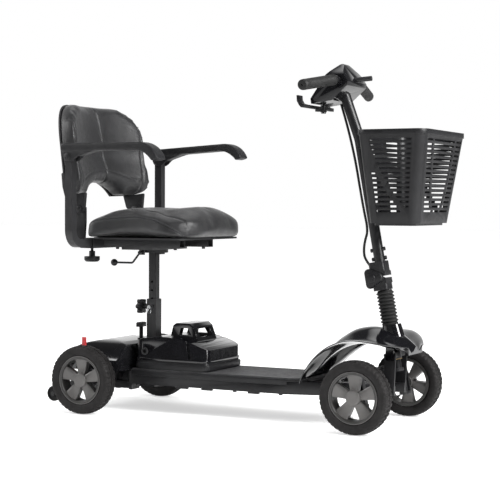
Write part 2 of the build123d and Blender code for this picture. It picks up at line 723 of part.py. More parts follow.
def basket_slots():
    """Rows of slots between solid leaf-shaped bands; every row is cut through opposite walls."""
    cutters = []
    first = basket_bottom_z + 30
    for row in range(slot_rows):
        z = first + row * slot_pitch
        rise = row / (slot_rows - 1)
        mid_x = (basket_rear_bottom_x + basket_front_bottom_x) / 2
        half_x = 42 + 18 * rise
        band = mid_x - half_x + (1 - rise) ** 2 * 2 * half_x * 0.9
        spans_x = [(mid_x - half_x, band - 9), (band + 9, mid_x + half_x + 6)]
        for x0, x1 in spans_x:
            if x1 - x0 > 8:
                cutters.append(block(x0, x1, -250, 250, z, z + slot_height))
        half_y = 92 + 42 * rise
        leaf = 26 + 62 * math.sqrt(rise)
        front_wall = (basket_rear_top_x + 70, basket_front_top_x + 30)
        for y0, y1 in ((-leaf + 7, leaf - 7), (leaf + 7, half_y), (-half_y, -leaf - 7)):
            if y1 - y0 > 8:
                cutters.append(block(*front_wall, y0, y1, z, z + slot_height))
        rear_wall = (basket_rear_top_x - 20, basket_rear_bottom_x + 20)
        for y0, y1 in ((bracket_half, half_y), (-half_y, -bracket_half)):
            cutters.append(block(*rear_wall, y0, y1, z, z + slot_height))
    return cutters


def make_basket():
    outer = loft([basket_section(basket_bottom_z, 0), basket_section(basket_rim_z, 0)])
    inner = loft([basket_section(basket_bottom_z + 4, basket_wall),
                  basket_section(basket_rim_z + 0.01, basket_wall)])
    rim_low = basket_rim_z - 14
    lip = extrude(basket_section(rim_low, -basket_lip), amount=14) - extrude(basket_section(rim_low, 2),
                                                                             amount=14)
    lip -= block(basket_rear_top_x - 30, basket_rear_top_x + 3, -40, 40, rim_low - 30, basket_rim_z + 5)
    basket = outer - inner + lip
    plinth = extrude(basket_section(basket_bottom_z, 12), amount=-6)
    basket += plinth
    for cutter in basket_slots():
        basket -= cutter
    for y in (-30, 0, 30):
        for x in (basket_rear_bottom_x + 37, basket_rear_bottom_x + 72, basket_rear_bottom_x + 107):
            basket -= block(x - 12, x + 12, y - 10, y + 10, basket_bottom_z - 10, basket_bottom_z + 10)
    write("basket", basket)


# ---------------------------------------------------------------- rear section
axle_z = tyre_radius
rear_tube_low = 64.0
saddle_radius = 24.0
motor_x, motor_z = -52.0, 128.0


def make_rear_frame():
    """Welded rear section: side tubes, seat-post socket and anti-tip brackets."""
    low, high = rear_tube_low, rear_tube_low + 22
    joint_x = deck_rear_x - 0.2
    side = block(-90, joint_x, 66, 88, low, high)
    side += block(joint_x - 10, joint_x, 66, deck_half_width - 2, low, rail_top)
    inner, outer = anti_tip_half_track - 14, anti_tip_half_track - 10
    drop = plate_xz([(-66, low), (-66, high), (-96, high + 6), (anti_tip_x - 9, anti_tip_height + 9),
                     (anti_tip_x - 9, anti_tip_height - 9), (anti_tip_x + 8,
                                                             anti_tip_height - 9)], inner, outer)
    drop += block(-90, -66, 80, outer, low, high)
    drop += rod((anti_tip_x, inner, anti_tip_height), (anti_tip_x, anti_tip_half_track + 12,
                                                       anti_tip_height), 4)
    for y0, y1 in ((outer, anti_tip_half_track - 8.3),
                   (anti_tip_half_track + 8.3, anti_tip_half_track + 12)):
        drop += rod((anti_tip_x, y0, anti_tip_height), (anti_tip_x, y1, anti_tip_height), 7)
    frame = both_sides(side + drop)
    for x in (-90, 52):
        frame += block(x, x + 24, -88, 88, low, high)
    saddle = plate_xz([(-26, high - 2), (26, high - 2), (26, axle_z + 30), (-26, axle_z + 30)], 66, 84)
    frame += both_sides(saddle)
    frame -= rod((0, -95, axle_z), (0, 95, axle_z), saddle_radius)
    frame -= rod((motor_x, 30, motor_z), (motor_x, 160, motor_z), 38.3)
    frame += block(70, post_x + post_outer / 2, -24, 24, low, high)
    half = post_outer / 2
    frame += block(post_x - half, post_x + half, -half, half, low, collar_z)
    bore = half - post_wall
    frame -= block(post_x - bore, post_x + bore, -bore, bore, low + 6, collar_z + 1)
    frame += pipe((post_x - half - 12, 0, lock_height), (post_x - half, 0, lock_height), 8, 4 + running_gap)
    frame -= rod((post_x - 60, 0, lock_height), (post_x, 0, lock_height), 4 + running_gap)
    frame -= rod((post_x, -40, lock_height), (post_x, 40, lock_height), 3.5 + running_gap)
    write("rear_frame", frame)


def make_transaxle():
    """Gear case around the axle and the motor, with an axle tube to each side."""
    ring = 46.0
    case = rod((0, -34, axle_z), (0, 34, axle_z), ring)
    case += rod((motor_x, -34, motor_z), (motor_x, 34, motor_z), 38)
    slope = math.atan2(motor_z - axle_z, motor_x)
    across = Vector(-math.sin(slope), 0, math.cos(slope))
    a, b = Vector(0, 0, axle_z), Vector(motor_x, 0, motor_z)
    outline = [a + across * ring, b + across * 38, b - across * 38, a - across * ring]
    case += plate_xz([(p.X, p.Z) for p in outline], -34, 34)
    tubes = rod((0, -180, axle_z), (0, 180, axle_z), 20)
    case += tubes
    for side in (1, -1):
        case += rod((0, side * 60, axle_z), (0, side * 90, axle_z), saddle_radius - 0.2)
        case += rod((0, side * 174, axle_z), (0, side * 184, axle_z), 26)
    pivot_z = axle_z + 14
    case += plate_xz([(-2, 86), (-2, 114), (lever_x + 4, pivot_z + 9), (lever_x - 8, pivot_z + 4),
                      (lever_x - 8, pivot_z - 6), (lever_x, pivot_z - 10)], lever_y + 5, lever_y + 11)
    case += rod((lever_x, lever_y + 6, pivot_z), (lever_x, lever_y - 6, pivot_z), 4)
    case += rod((lever_x, lever_y - 3.4, pivot_z), (lever_x, lever_y - 6, pivot_z), 7)
    shaft_end = rear_half_track - rim_width / 2 + 30 - 150
    for side in (1, -1):
        case -= rod((0, side * (shaft_end - 2), axle_z), (0, side * 200, axle_z),
                    rear_shaft_radius + running_gap)
    write("transaxle_housing", case)

    motor = rod((motor_x, 34, motor_z), (motor_x, 128, motor_z), 35)
    motor += rod((motor_x, 128, motor_z), (motor_x, 150, motor_z), 28)
    motor += rod((motor_x, 34, motor_z), (motor_x, 40, motor_z), 38)
    write("drive_motor", motor)


cover_rear_x, cover_front_x = -108.0, 84.0
cover_half_width = 166.0
cover_low_z = 122.0


def cover_solid(inset):
    """Domed outline of the rear cover, drawn in by a wall."""
    crown_x = -34.0
    with BuildPart() as part:
        with BuildSketch(Plane.XZ):
            with BuildLine():
                Polyline((cover_front_x - inset, 196 - inset), (cover_front_x - inset, cover_low_z),
                         (cover_rear_x + inset, cover_low_z), (cover_rear_x + inset, 140))
                Spline((cover_rear_x + inset, 140), (-88, 182 - inset), (crown_x, 203 - inset),
                       (30, 205 - inset),
                       (cover_front_x - inset, 196 - inset))
            make_face()
        extrude(amount=200, both=True)
    with BuildPart() as across:
        with BuildSketch(Plane.YZ):
            with BuildLine():
                wide = cover_half_width - inset
                Polyline((-wide, 150), (-wide, cover_low_z), (wide, cover_low_z), (wide, 150))
                Spline((wide, 150), (120, 194 - inset), (0, 207 - inset), (-120, 194 - inset), (-wide, 150))
            make_face()
        extrude(amount=300, both=True)
    return part.part & across.part


handle_x = 61.0
lever_x, lever_y = -45.0, -150.0


def make_rear_cover():
    cover = cover_solid(0) - Pos(0, 0, -0.01) * cover_solid(3)
    cover -= block(cover_rear_x + 3, cover_front_x - 3, -cover_half_width + 3, cover_half_width - 3,
                   cover_low_z - 1, cover_low_z + 8)
    for x, y, ceiling in ((64, 60, 197.5), (64, -60, 197.5), (-78, -60, 185)):
        cover += rod((x, y, rear_tube_low + 22), (x, y, ceiling), 6)
    cover += rod((handle_x, 0, 186), (handle_x, 0, 208), 11)
    cover -= rod((handle_x, 0, 170), (handle_x, 0, 220), 6 + running_gap)
    cover -= block(lever_x - 26, lever_x + 8, lever_y - 6, lever_y + 6, 150, 230)
    cover -= block(50, cover_front_x + 1, -27, 27, cover_low_z - 1, 180)
    write("rear_cover", cover)

    stem = rod((handle_x, 0, 128), (handle_x, 0, 246), 6)
    grip = block(handle_x - 9, handle_x + 9, -19, 19, 241, 255)
    grip = fillet(edges_along(grip, Axis.Z), 6)
    grip = fillet(grip.faces().sort_by(Axis.Z)[-1].edges(), 4)
    keeper = rod((handle_x, 0, 128), (handle_x, 0, 133), 9)
    write("t_handle", stem + grip + keeper)

    lever = plate_xz([(lever_x - 8, axle_z + 14), (lever_x + 8, axle_z + 14), (lever_x + 4, 192),
                      (lever_x - 4, 192)],
                     lever_y - 3, lever_y + 3)
    lever += rod((lever_x, lever_y - 3, axle_z + 14), (lever_x, lever_y + 3, axle_z + 14), 9)
    lever -= rod((lever_x, lever_y - 8, axle_z + 14), (lever_x, lever_y + 8, axle_z + 14), 4 + running_gap)
    cap = Pos(lever_x, lever_y, 203) * Box(12, 10, 26)
    cap = fillet(edges_along(cap, Axis.Z), 3)
    write("freewheel_lever", lever + cap)


# ---------------------------------------------------------------- battery
battery_seam_z = deck_height + battery_case_height
notch_half = 21.0


def battery_side(low, high_rear, high_mid, high_front, inset):
    """Side outline between a floor and an arched top, drawn in by a wall."""
    rear, front = battery_rear_x + inset, battery_front_x - inset
    with BuildSketch(Plane.XZ) as sketch:
        with BuildLine():
            Polyline((front, high_front - inset), (front, low), (rear, low), (rear, high_rear - inset))
            Spline((rear, high_rear - inset), ((rear + front) / 2 - 20, high_mid - inset),
                   (front, high_front - inset))
        make_face()
    return sketch.sketch


def make_battery():
    floor = deck_height
    top = floor + battery_height
    notch = block(battery_rear_x - 10, post_x + post_outer / 2 + 3, -notch_half, notch_half, 0, 400)
    case = block(battery_rear_x, battery_front_x, -battery_half_width, battery_half_width, floor,
                 battery_seam_z - 5)
    case = fillet(edges_along(case, Axis.Z), 22)
    rib = block(battery_rear_x - 2, battery_front_x + 6, -battery_half_width - 3, battery_half_width + 3,
                floor + 3, floor + 19)
    rib = fillet(edges_along(rib, Axis.Z), 24)
    case += rib
    cavity = block(battery_rear_x + 30, battery_front_x - 8, -battery_half_width + 6,
                   battery_half_width - 6,
                   floor + 4, battery_seam_z)
    write("battery_case", case - cavity - notch)

    def shell(inset):
        body = extrude(battery_side(battery_seam_z - 5 + (0 if inset == 0 else -0.01), top - 14, top,
                                    top - 34, inset), amount=battery_half_width - inset, both=True)
        corner = fillet(edges_along(block(battery_rear_x + inset, battery_front_x - inset,
                                          -battery_half_width + inset, battery_half_width - inset, 100, 300),
                                    Axis.Z), 26 - inset)
        return body & corner

    lid = shell(0)
    lid -= block(battery_rear_x + 30, battery_front_x - 12, -battery_half_width + 8, battery_half_width - 8,
                 battery_seam_z - 6, top - 38)
    skirt = fillet(edges_along(block(battery_rear_x - 2, battery_front_x + 3, -battery_half_width - 2,
                                     battery_half_width + 2, battery_seam_z - 4, battery_seam_z + 2),
                               Axis.Z), 26)
    lid += skirt - block(battery_rear_x + 30, battery_front_x - 12, -battery_half_width + 8,
                         battery_half_width - 8, 0, 400)
    groove = both_sides(plate_xz([(battery_front_x - 60, battery_seam_z + 6),
                                  (battery_front_x - 52, battery_seam_z + 6),
                                  (battery_front_x - 66, top + 20), (battery_front_x - 76, top + 20)],
                                 battery_half_width - 5, battery_half_width + 10))
    lid -= groove
    handle = plate_xz([(196, top - 8), (206, top + 30), (216, top + 38), (262, top + 38), (274, top + 28),
                       (290, top - 14)], -58, 58)
    handle = fillet(edges_along(handle, Axis.Y).sort_by(Axis.Z)[-4:], 6)
    grip_gap = block(186, 300, -38, 38, top - 2, top + 22)
    side_gap = plate_xz([(226, top + 4), (232, top + 24), (256, top + 24), (268, top + 4)], -70, 70)
    scoop = block(214, 276, -38, 38, top - 12, top + 5)
    lid = lid - scoop
    lid += handle - grip_gap - side_gap - scoop
    port_at = (140, -battery_half_width, floor + 52)
    lid -= rod((port_at[0], -battery_half_width - 5, port_at[2]),
               (port_at[0], -battery_half_width + 8, port_at[2]),
               9 + running_gap)
    write("battery_lid", lid - notch)

    socket = rod((port_at[0], -battery_half_width - 3, port_at[2]),
                 (port_at[0], -battery_half_width + 7.9, port_at[2]), 9)
    socket += rod((port_at[0], -battery_half_width - 3, port_at[2]),
                  (port_at[0], -battery_half_width - 0.2, port_at[2]), 11)
    socket -= rod((port_at[0], -battery_half_width - 4, port_at[2]),
                  (port_at[0], -battery_half_width + 5, port_at[2]), 6)
    write("charging_port", socket)

    cell = block(0, 64, -92, 92, floor + 4.2, floor + 54)
    write("battery_pack", *[Pos(battery_rear_x + 34 + n * 66, 0, 0) * cell for n in range(3)])


# ---------------------------------------------------------------- seat
def make_seat_post():
    half = post_inner / 2
    low = 190.0
    post = block(post_x - half, post_x + half, -half, half, low, post_top_z)
    post = fillet(edges_along(post, Axis.Z), 3)
    post -= block(post_x - half + 3, post_x + half - 3, -half + 3, half - 3, low - 1, post_top_z - 10)
    post += rod((post_x, 0, post_top_z), (post_x, 0, swivel_plate_z - running_gap), swivel_disc_radius)
    post += rod((post_x, 0, swivel_plate_z - 1), (post_x, 0, swivel_plate_z + 12), 11)
    for n in range(post_hole_count):
        z = lock_height + (n - post_hole_count // 2) * post_hole_pitch
        post -= rod((post_x, -40, z), (post_x, 40, z), 3.5 + running_gap)
    post += plate_xz([(post_x + 14, post_top_z), (post_x + 14, post_top_z - 5),
                      (post_x + 30, post_top_z - 5),
                      (post_x + 30, post_top_z)], -12, 12)
    write("seat_post", post)


def make_seat_underframe():
    """Swivel plate, two rails and the cross tube that takes the armrest tubes."""
    low = swivel_plate_z + swivel_plate_thickness
    high = low + seat_rail_height
    plate = block(post_x - 52, post_x + 56, -seat_rail_half_gap - 16, seat_rail_half_gap + 16,
                  swivel_plate_z, low)
    frame = plate - rod((post_x, 0, swivel_plate_z - 5), (post_x, 0, low + 5), 11 + running_gap)
    rail = block(-6, 252, seat_rail_half_gap - seat_rail_width / 2,
                 seat_rail_half_gap + seat_rail_width / 2,
                 low, high)
    rail -= block(-4, 262, seat_rail_half_gap - seat_rail_width / 2 + 3,
                  seat_rail_half_gap + seat_rail_width / 2 - 3,
                  low + 3, high - 3)
    frame += both_sides(rail)
    outer = arm_tube / 2 + 3 + running_gap
    tube_z = (low + high) / 2
    cross = block(arm_post_x - outer, arm_post_x + outer, -158, 158, tube_z - outer, tube_z + outer)
    cross -= block(arm_post_x - outer + 3, arm_post_x + outer - 3, -170, 170, tube_z - outer + 3,
                   tube_z + outer - 3)
    frame += cross
    for y in (1, -1):
        frame += block(arm_post_x + outer, -6, y * seat_rail_half_gap - 16, y * seat_rail_half_gap + 16,
                       low, high)
    frame -= rod((arm_post_x, -140, tube_z - 30), (arm_post_x, -140, tube_z), 4 + running_gap)
    ear = block(lever_pivot_x - 9, lever_pivot_x + 9, -53, -48, lever_pivot_z - 7, swivel_plate_z)
    ear -= rod((lever_pivot_x, -60, lever_pivot_z), (lever_pivot_x, -40, lever_pivot_z), 3 + running_gap)
    frame += ear
    back_of_tube = arm_post_x - outer
    hinge = plate_xz([(back_of_tube, tube_z - outer), (back_of_tube, tube_z + outer),
                      (back_hinge_x + 14, back_hinge_z - 40), (back_hinge_x + 14, back_hinge_z + 4),
                      (back_hinge_x + 6, back_hinge_z + 10), (back_hinge_x - 12, back_hinge_z + 8),
                      (back_hinge_x - 40, back_hinge_z - 14), (back_hinge_x - 42, back_hinge_z - 56),
                      (back_hinge_x - 28, tube_z), (back_of_tube - 14, tube_z - outer)],
                     ear_outer - ear_thickness, ear_outer)
    hinge += rod((back_hinge_x, ear_outer - 1, back_hinge_z), (back_hinge_x, ear_outer + 18, back_hinge_z),
                 hinge_pin_radius)
    hinge += rod((back_hinge_x, ear_outer + 12 + running_gap, back_hinge_z),
                 (back_hinge_x, ear_outer + 18, back_hinge_z), 9)
    frame += both_sides(hinge)
    write("seat_underframe", frame)


arm_tube_z = swivel_plate_z + swivel_plate_thickness + seat_rail_height / 2
arm_socket_half = arm_tube / 2 + 3 + running_gap
lever_pivot_x = post_x - 12
lever_pivot_z = swivel_plate_z - 9


def make_swivel_lever():
    """Bent release rod with a ball, hinged under the swivel plate."""
    wire, ball_radius, y = 3.0, 10.5, -62.0
    ball_x, ball_z = lever_pivot_x - 90, lever_pivot_z - 31
    straight_from = ball_x + 30
    lever = swept([Vector(lever_pivot_x, y, lever_pivot_z), Vector(lever_pivot_x - 26, y, ball_z),
                   Vector(straight_from, y, ball_z)], 10, Circle(wire))
    lever += rod((lever_pivot_x, y - 5, lever_pivot_z), (lever_pivot_x, -54, lever_pivot_z), 5)
    lever += rod((lever_pivot_x, -54, lever_pivot_z), (lever_pivot_x, -45, lever_pivot_z), wire)
    neck = math.sqrt(ball_radius ** 2 - wire ** 2)
    with BuildPart() as knob:
        with BuildSketch(Plane.XY):
            with BuildLine():
                Polyline((-ball_radius, 0), (30, 0), (30, wire), (neck, wire))
                ThreePointArc((neck, wire), (0, ball_radius), (-ball_radius, 0))
            make_face()
        revolve(axis=Axis.X)
    write("swivel_lever", lever + Pos(ball_x, y, ball_z) * knob.part)


def make_seat():
    board_low = swivel_plate_z + swivel_plate_thickness + seat_rail_height
    board = block(arm_post_x + arm_socket_half + 1, seat_front_x - 34, -seat_half_width + 22,
                  seat_half_width - 22,
                  board_low, board_low + pan_board)
    board = fillet(edges_along(board, Axis.Z), 40)
    write("seat_pan", board)
    low = board_low + pan_board
    cushion = block(seat_rear_x, seat_front_x, -seat_half_width, seat_half_width, low, seat_top_z - 4)
    cushion = fillet(edges_along(cushion, Axis.Z).sort_by(Axis.X)[-2:], 110)
    cushion = fillet(edges_along(cushion, Axis.Z).sort_by(Axis.X)[:2], 35)
    cushion = fillet(cushion.faces().sort_by(Axis.Z)[-1].edges(), 20)
    with BuildSketch(Plane.XZ) as crown:
        with BuildLine():
            Polyline((seat_front_x, seat_top_z - 14), (seat_front_x, low), (seat_rear_x, low),
                     (seat_rear_x, seat_top_z - 20))
            Spline((seat_rear_x, seat_top_z - 20), (60, seat_top_z - 7), (230, seat_top_z - 4),
                   (seat_front_x, seat_top_z - 14))
        make_face()
    cushion = cushion & extrude(crown.sketch, amount=seat_half_width + 5, both=True)
    write("seat_cushion", cushion)


# ---------------------------------------------------------------- armrests
def make_arms():
    inner_end = 62.0
    tube_end = arm_half_span
    half = arm_tube / 2
    for side, word in ((1, "left"), (-1, "right")):
        route = [Vector(arm_post_x, side * inner_end, arm_tube_z),
                 Vector(arm_post_x, side * tube_end, arm_tube_z),
                 Vector(arm_post_x, side * tube_end, arm_pivot_z + 10)]
        post = swept(route, 40, Rectangle(arm_tube, arm_tube))
        post -= rod((arm_post_x, side * tube_end - 30, arm_pivot_z),
                    (arm_post_x, side * tube_end + 30, arm_pivot_z), 4)
        write(f"{word}_arm_post", post)

        top, mid_y = arm_pad_top_z, side * tube_end
        low = top - arm_pad_thickness
        rear, front = arm_pad_rear_x, arm_pad_front_x
        with BuildPart() as part:
            with BuildSketch(Plane.XZ):
                with BuildLine():
                    Polyline((front - 74, low), (rear, low), (rear, top - 4), (rear + 5, top),
                             (front - 70, top))
                    ThreePointArc((front - 70, top), (front - 24, top - 14), (front, top - 50))
                    Polyline((front, top - 50), (front - 22, top - 54))
                    ThreePointArc((front - 22, top - 54), (front - 42, low - 12), (front - 74, low))
                make_face()
            extrude(amount=arm_pad_width / 2, both=True)
        pad = part.part
        pad = chamfer(pad.faces().sort_by(Axis.Z)[-1].edges().filter_by(GeomType.LINE), 2)
        cheek = [(rear + 4, low), (rear + 2, arm_pivot_z + 6), (arm_post_x - 12, arm_pivot_z - 12),
                 (arm_post_x + 14, arm_pivot_z - 16), (arm_post_x + 40, low - 14), (arm_post_x + 96, low)]
        for y0, y1 in ((-half - 6.4, -half - 0.4), (half + 0.4, half + 6.4)):
            pad += plate_xz(cheek, y0, y1)
        pad += plate_xz([(arm_post_x + 18, low), (arm_post_x + 22, low - 16), (arm_post_x + 42, low - 13),
                         (arm_post_x + 92, low)], -half - 0.4, half + 0.4)
        pad += rod((arm_post_x, -half - 9, arm_pivot_z), (arm_post_x, half + 9, arm_pivot_z),
                   4 - running_gap)
        for y in (-1, 1):
            pad += rod((arm_post_x, y * (half + 6), arm_pivot_z),
                       (arm_post_x, y * (half + 10), arm_pivot_z), 8)
        pad = Rot(0, -armrest_tilt[word], 0) * Pos(-arm_post_x, 0, -arm_pivot_z) * pad
        write(f"{word}_armrest", Pos(arm_post_x, mid_y, arm_pivot_z) * pad)


# ---------------------------------------------------------------- backrest
def back_plane():
    """Frame of the backrest: origin at its foot, local Z up the recline."""
    lean = math.radians(back_recline_deg)
    return Plane(origin=(back_hinge_x + 23, 0, back_bottom_z), x_dir=(math.cos(lean), 0, math.sin(lean)),
                 z_dir=(-math.sin(lean), 0, math.cos(lean)))


def back_slab(front, thickness, height):
    """Curved slab that wraps round the rider, front face at a depth from the wings' line."""
    radius = (back_half_width ** 2 + back_depth ** 2) / (2 * back_depth)
    centre_x = -back_depth + radius
    outer, inner = radius + front + thickness, radius + front
    disc = Pos(centre_x, 0, 0) * (
        Cylinder(outer, height, align=(Align.CENTER, Align.CENTER, Align.MIN))
        - Cylinder(inner, height, align=(Align.CENTER, Align.CENTER, Align.MIN))
    )
    window = make_face(Polyline((0, -back_half_width, 0), (0, back_half_width, 0),
                                (0, back_half_width, height),
                                (0, -back_half_width, height), close=True))
    window = fillet(window.vertices().sort_by(Axis.Z)[-2:], 115)
    window = fillet(window.vertices().sort_by(Axis.Z)[:2], 30)
    keep = extrude(window, amount=160, dir=(-1, 0, 0), both=False)
    arch = Pos(-80, 0, back_arch_top - back_arch_radius) * Rot(0, 90, 0) * Cylinder(back_arch_radius, 260)
    return (disc & keep) - arch


def make_backrest():
    height = (back_top_z - back_bottom_z) / math.cos(math.radians(back_recline_deg))
    place = back_plane().location
    write("backrest_cushion", place * back_slab(0, back_cushion_thickness, height))
    shell = back_slab(back_cushion_thickness, back_shell_thickness, height)
    write("backrest_shell", place * shell)

    cutter = place * back_slab(-40, 40 + back_cushion_thickness + back_shell_thickness, height)
    outline = [(16, 4), (20, 44), (4, 104), (-54, 109), (-64, 104), (-60, 64), (-42, 4), (-20, -14),
               (6, -14)]
    outline = [(back_hinge_x + x, back_hinge_z + z) for x, z in outline]
    arm = plate_xz(outline, ear_outer + running_gap, ear_outer + 12)
    arm -= rod((back_hinge_x, ear_outer - 5, back_hinge_z), (back_hinge_x, ear_outer + 20, back_hinge_z),
               hinge_pin_radius + running_gap)
    arm = (arm - cutter).solids().sort_by(SortBy.VOLUME)[-1]
    write("back_brackets", arm, mirror(arm, about=Plane.XZ))


def make_fasteners():
    """Grouped bolts: chassis, seat and small fixings."""
    bolts = []
    for x in (deck_rear_x + 12, 243.0, 432.0, deck_front_x - 78):
        for side in (1, -1):
            y = side * (deck_half_width - 15)
            bolts.append(rod((x, y, rail_bottom - 5), (x, y, rail_bottom), 5.5))
    write("chassis_bolts", *bolts)

    seat = []
    low = swivel_plate_z + swivel_plate_thickness
    for x in (30.0, 228.0):
        for side in (1, -1):
            seat.append(rod((x, side * seat_rail_half_gap, low - 6), (x, side * seat_rail_half_gap, low),
                            5))
    write("seat_bolts", *seat)


# ---------------------------------------------------------------- knobs and pins
def make_post_controls():
    """Star knob behind the seat post and the pull pin through its side."""
    profile = Circle(16)
    for lobe in range(6):
        profile += Rot(0, 0, lobe * 60) * Pos(17, 0) * Circle(6)
    knob = extrude(profile, amount=15)
    knob = knob + Pos(0, 0, -8) * Cylinder(8, 8, align=(Align.CENTER, Align.CENTER, Align.MIN))
    tip = post_inner / 2 + running_gap
    screw_start = post_outer / 2 + 12.5
    facing = Plane(origin=(post_x - screw_start - 8, 0, lock_height), x_dir=(0, 1, 0), z_dir=(-1, 0, 0))
    screw = rod((post_x - tip, 0, lock_height), (post_x - screw_start, 0, lock_height), 4)
    write("star_knob", facing.location * knob + screw)

    pin = rod((post_x, -post_outer / 2 - 8, lock_height), (post_x, post_outer / 2 + 6, lock_height), 3.5)
    pin += rod((post_x, -post_outer / 2 - 15, lock_height), (post_x, -post_outer / 2 - 0.4, lock_height), 6)
    ring = Pos(post_x, -post_outer / 2 - 12, lock_height - 12) * Rot(0, 90, 0) * Torus(9, 1.2)
    write("lock_pin", pin + ring)


def make_width_knob():
    """Mushroom clamp knob under the cross tube."""
    top = arm_tube_z - arm_socket_half
    y = -140.0
    cap = Pos(arm_post_x, y, top - 40) * Cylinder(23, 16, align=(Align.CENTER, Align.CENTER, Align.MIN))
    cap = chamfer(cap.edges().sort_by(Axis.Z)[:1], 5)
    cap += Pos(arm_post_x, y, top - 24) * Cylinder(9, 16, align=(Align.CENTER, Align.CENTER, Align.MIN))
    screw = rod((arm_post_x, y, top - 10), (arm_post_x, y, arm_tube_z - arm_tube / 2 - running_gap), 4)
    write("width_knob", cap + screw)


# ---------------------------------------------------------------- cable
lead_bow = ((98.7, 541), (108.7, 510), (111.7, 481), (106.7, 458))


def lead_route():
    """Corners of the control lead, from the console's underside to its gland in the folding clamp."""
    beside = stem_frame.x_dir * -(tiller_radius + 8)
    return [Vector(tiller_top_x, 0, 893), stem_point(0, 0, tiller_bend_s) + beside,
            stem_point(0, 0, 500) + beside,
            *[Vector(steering_axis_x - back, 0, z) for back, z in lead_bow],
            stem_point(-28, 0, fold_pivot_s + 32)]


def make_tiller_cable():
    """Control lead: down behind the tiller, bowed out at the fold and into the clamp."""
    route = lead_route()
    runs = [(b - a) for a, b in zip(route, route[1:])]
    radii = []
    for first, second in zip(runs, runs[1:]):
        turn = math.radians(first.get_angle(second))
        radii.append(0.45 * min(first.length, second.length) / math.tan(turn / 2))
    print("control lead radii", [round(r) for r in radii])
    write("tiller_cable", swept(route, radii, Circle(lead_radius)))


# ---------------------------------------------------------------- front cowl
def cowl_edge(share):
    """Half width and height of the cowl's outer edge, from its rear tips (0) to its nose (1)."""
    crest = 0.668
    width = cowl_rear_half + (cowl_half_width - cowl_rear_half) * math.sin(math.pi / 2 * min(share / 0.6,
                                                                                             1.0))
    width -= (cowl_half_width - cowl_nose_half) * max(0.0, (share - 0.62) / 0.38) ** 2.2
    height = cowl_tip_z + (cowl_crest_z - cowl_tip_z) * math.sin(math.pi / 2 * min(share / crest,
                                                                                   1.0)) ** 0.75
    return width, height - (cowl_crest_z - cowl_nose_z) * max(0.0, (share - crest) / (1 - crest)) ** 1.4


def cowl_height(share, across):
    """Height of the cowl over the plan: raised lips, a dished floor and a ridge along the middle."""
    _, edge = cowl_edge(share)
    ridge_half = 0.5
    rise = cowl_ridge * min(share / 0.2, 1.0) ** 0.8
    rise *= 1 - 0.36 * min(max(share - 0.4, 0.0) / 0.28, 1.0)
    rise *= 1 - max(0.0, (share - 0.8) / 0.2) ** 1.5
    ridge = rise * math.cos(math.pi / 2 * min(abs(across) / ridge_half, 1.0)) ** 2
    return edge + ridge - cowl_dish * math.sin(math.pi * abs(across)) ** 2 * min(share / 0.15, 1.0)


cowl_tip_z, cowl_crest_z, cowl_nose_z = 116.0, 249.0, 221.0
cowl_rear_x, cowl_nose_x = wheelbase - 200, wheelbase + 95
cowl_rear_half, cowl_half_width, cowl_nose_half = 119.0, 200.0, 56.0
cowl_thickness = 3.0
cowl_ridge, cowl_dish = 31.0, 13.0


def make_front_cowl():
    rows, columns = 15, 13
    points = []
    for row in range(rows):
        share = row / (rows - 1)
        width, _ = cowl_edge(share)
        x = cowl_rear_x + (cowl_nose_x - cowl_rear_x) * share
        points.append([Vector(x, width * across, cowl_height(share, across))
                       for across in [-1 + 2 * column / (columns - 1) for column in range(columns)]])
    top = Face.make_surface_from_array_of_points(points, tol=0.5)
    cowl = Solid.thicken(top, cowl_thickness)
    under = extrude(top, amount=80, dir=(0, 0, -1))
    tabs = both_sides(block(wheelbase + 26, wheelbase + 50, 46, 50, 186, 300)) & under
    cone_low = 84.0
    outer = loft([on_stem(Pos(10, 0, cone_low) * RectangleRounded(62, 54, 18)),
                  on_stem(Pos(4, 0, cone_top) * RectangleRounded(50, 46, 18))])
    inner = loft([on_stem(Pos(10, 0, cone_low - 1) * RectangleRounded(56, 48, 15)),
                  on_stem(Pos(4, 0, cone_top + 1) * RectangleRounded(44, 40, 15))])
    nose = block(cowl_nose_x - 10, cowl_nose_x, -cowl_nose_half + 2, cowl_nose_half - 2, cowl_nose_z - 18,
                 300)
    nose = nose & under
    feet = block(cowl_rear_x - 5, cowl_rear_x + 14, -deck_half_width - 3, deck_half_width + 3, 60,
                 deck_height + 0.3)
    cowl = (cowl + tabs + nose - feet) - inner + (outer - inner - under)
    write("front_cowl", cowl)


def main():
    os.makedirs("parts", exist_ok=True)
    make_wheels()
    make_anti_tip_wheels()
    make_deck_frame()
    make_deck_pan()
    make_front_axle()
    make_knuckles()
    make_tie_rods()
    make_steering_stem()
    make_bellows()
    make_tiller()
    make_fold_knob()
    make_console()
    make_throttle()
    make_grips()
    make_basket()
    make_rear_frame()
    make_transaxle()
    make_rear_cover()
    make_battery()
    make_seat_post()
    make_seat_underframe()
    make_swivel_lever()
    make_seat()
    make_arms()
    make_backrest()
    make_fasteners()
    make_post_controls()
    make_width_knob()
    make_tiller_cable()
    make_front_cowl()


main()
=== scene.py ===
import json
import math

import bmesh
import bpy
import numpy as np
from mathutils import Matrix, Vector, noise
from mathutils.bvhtree import BVHTree


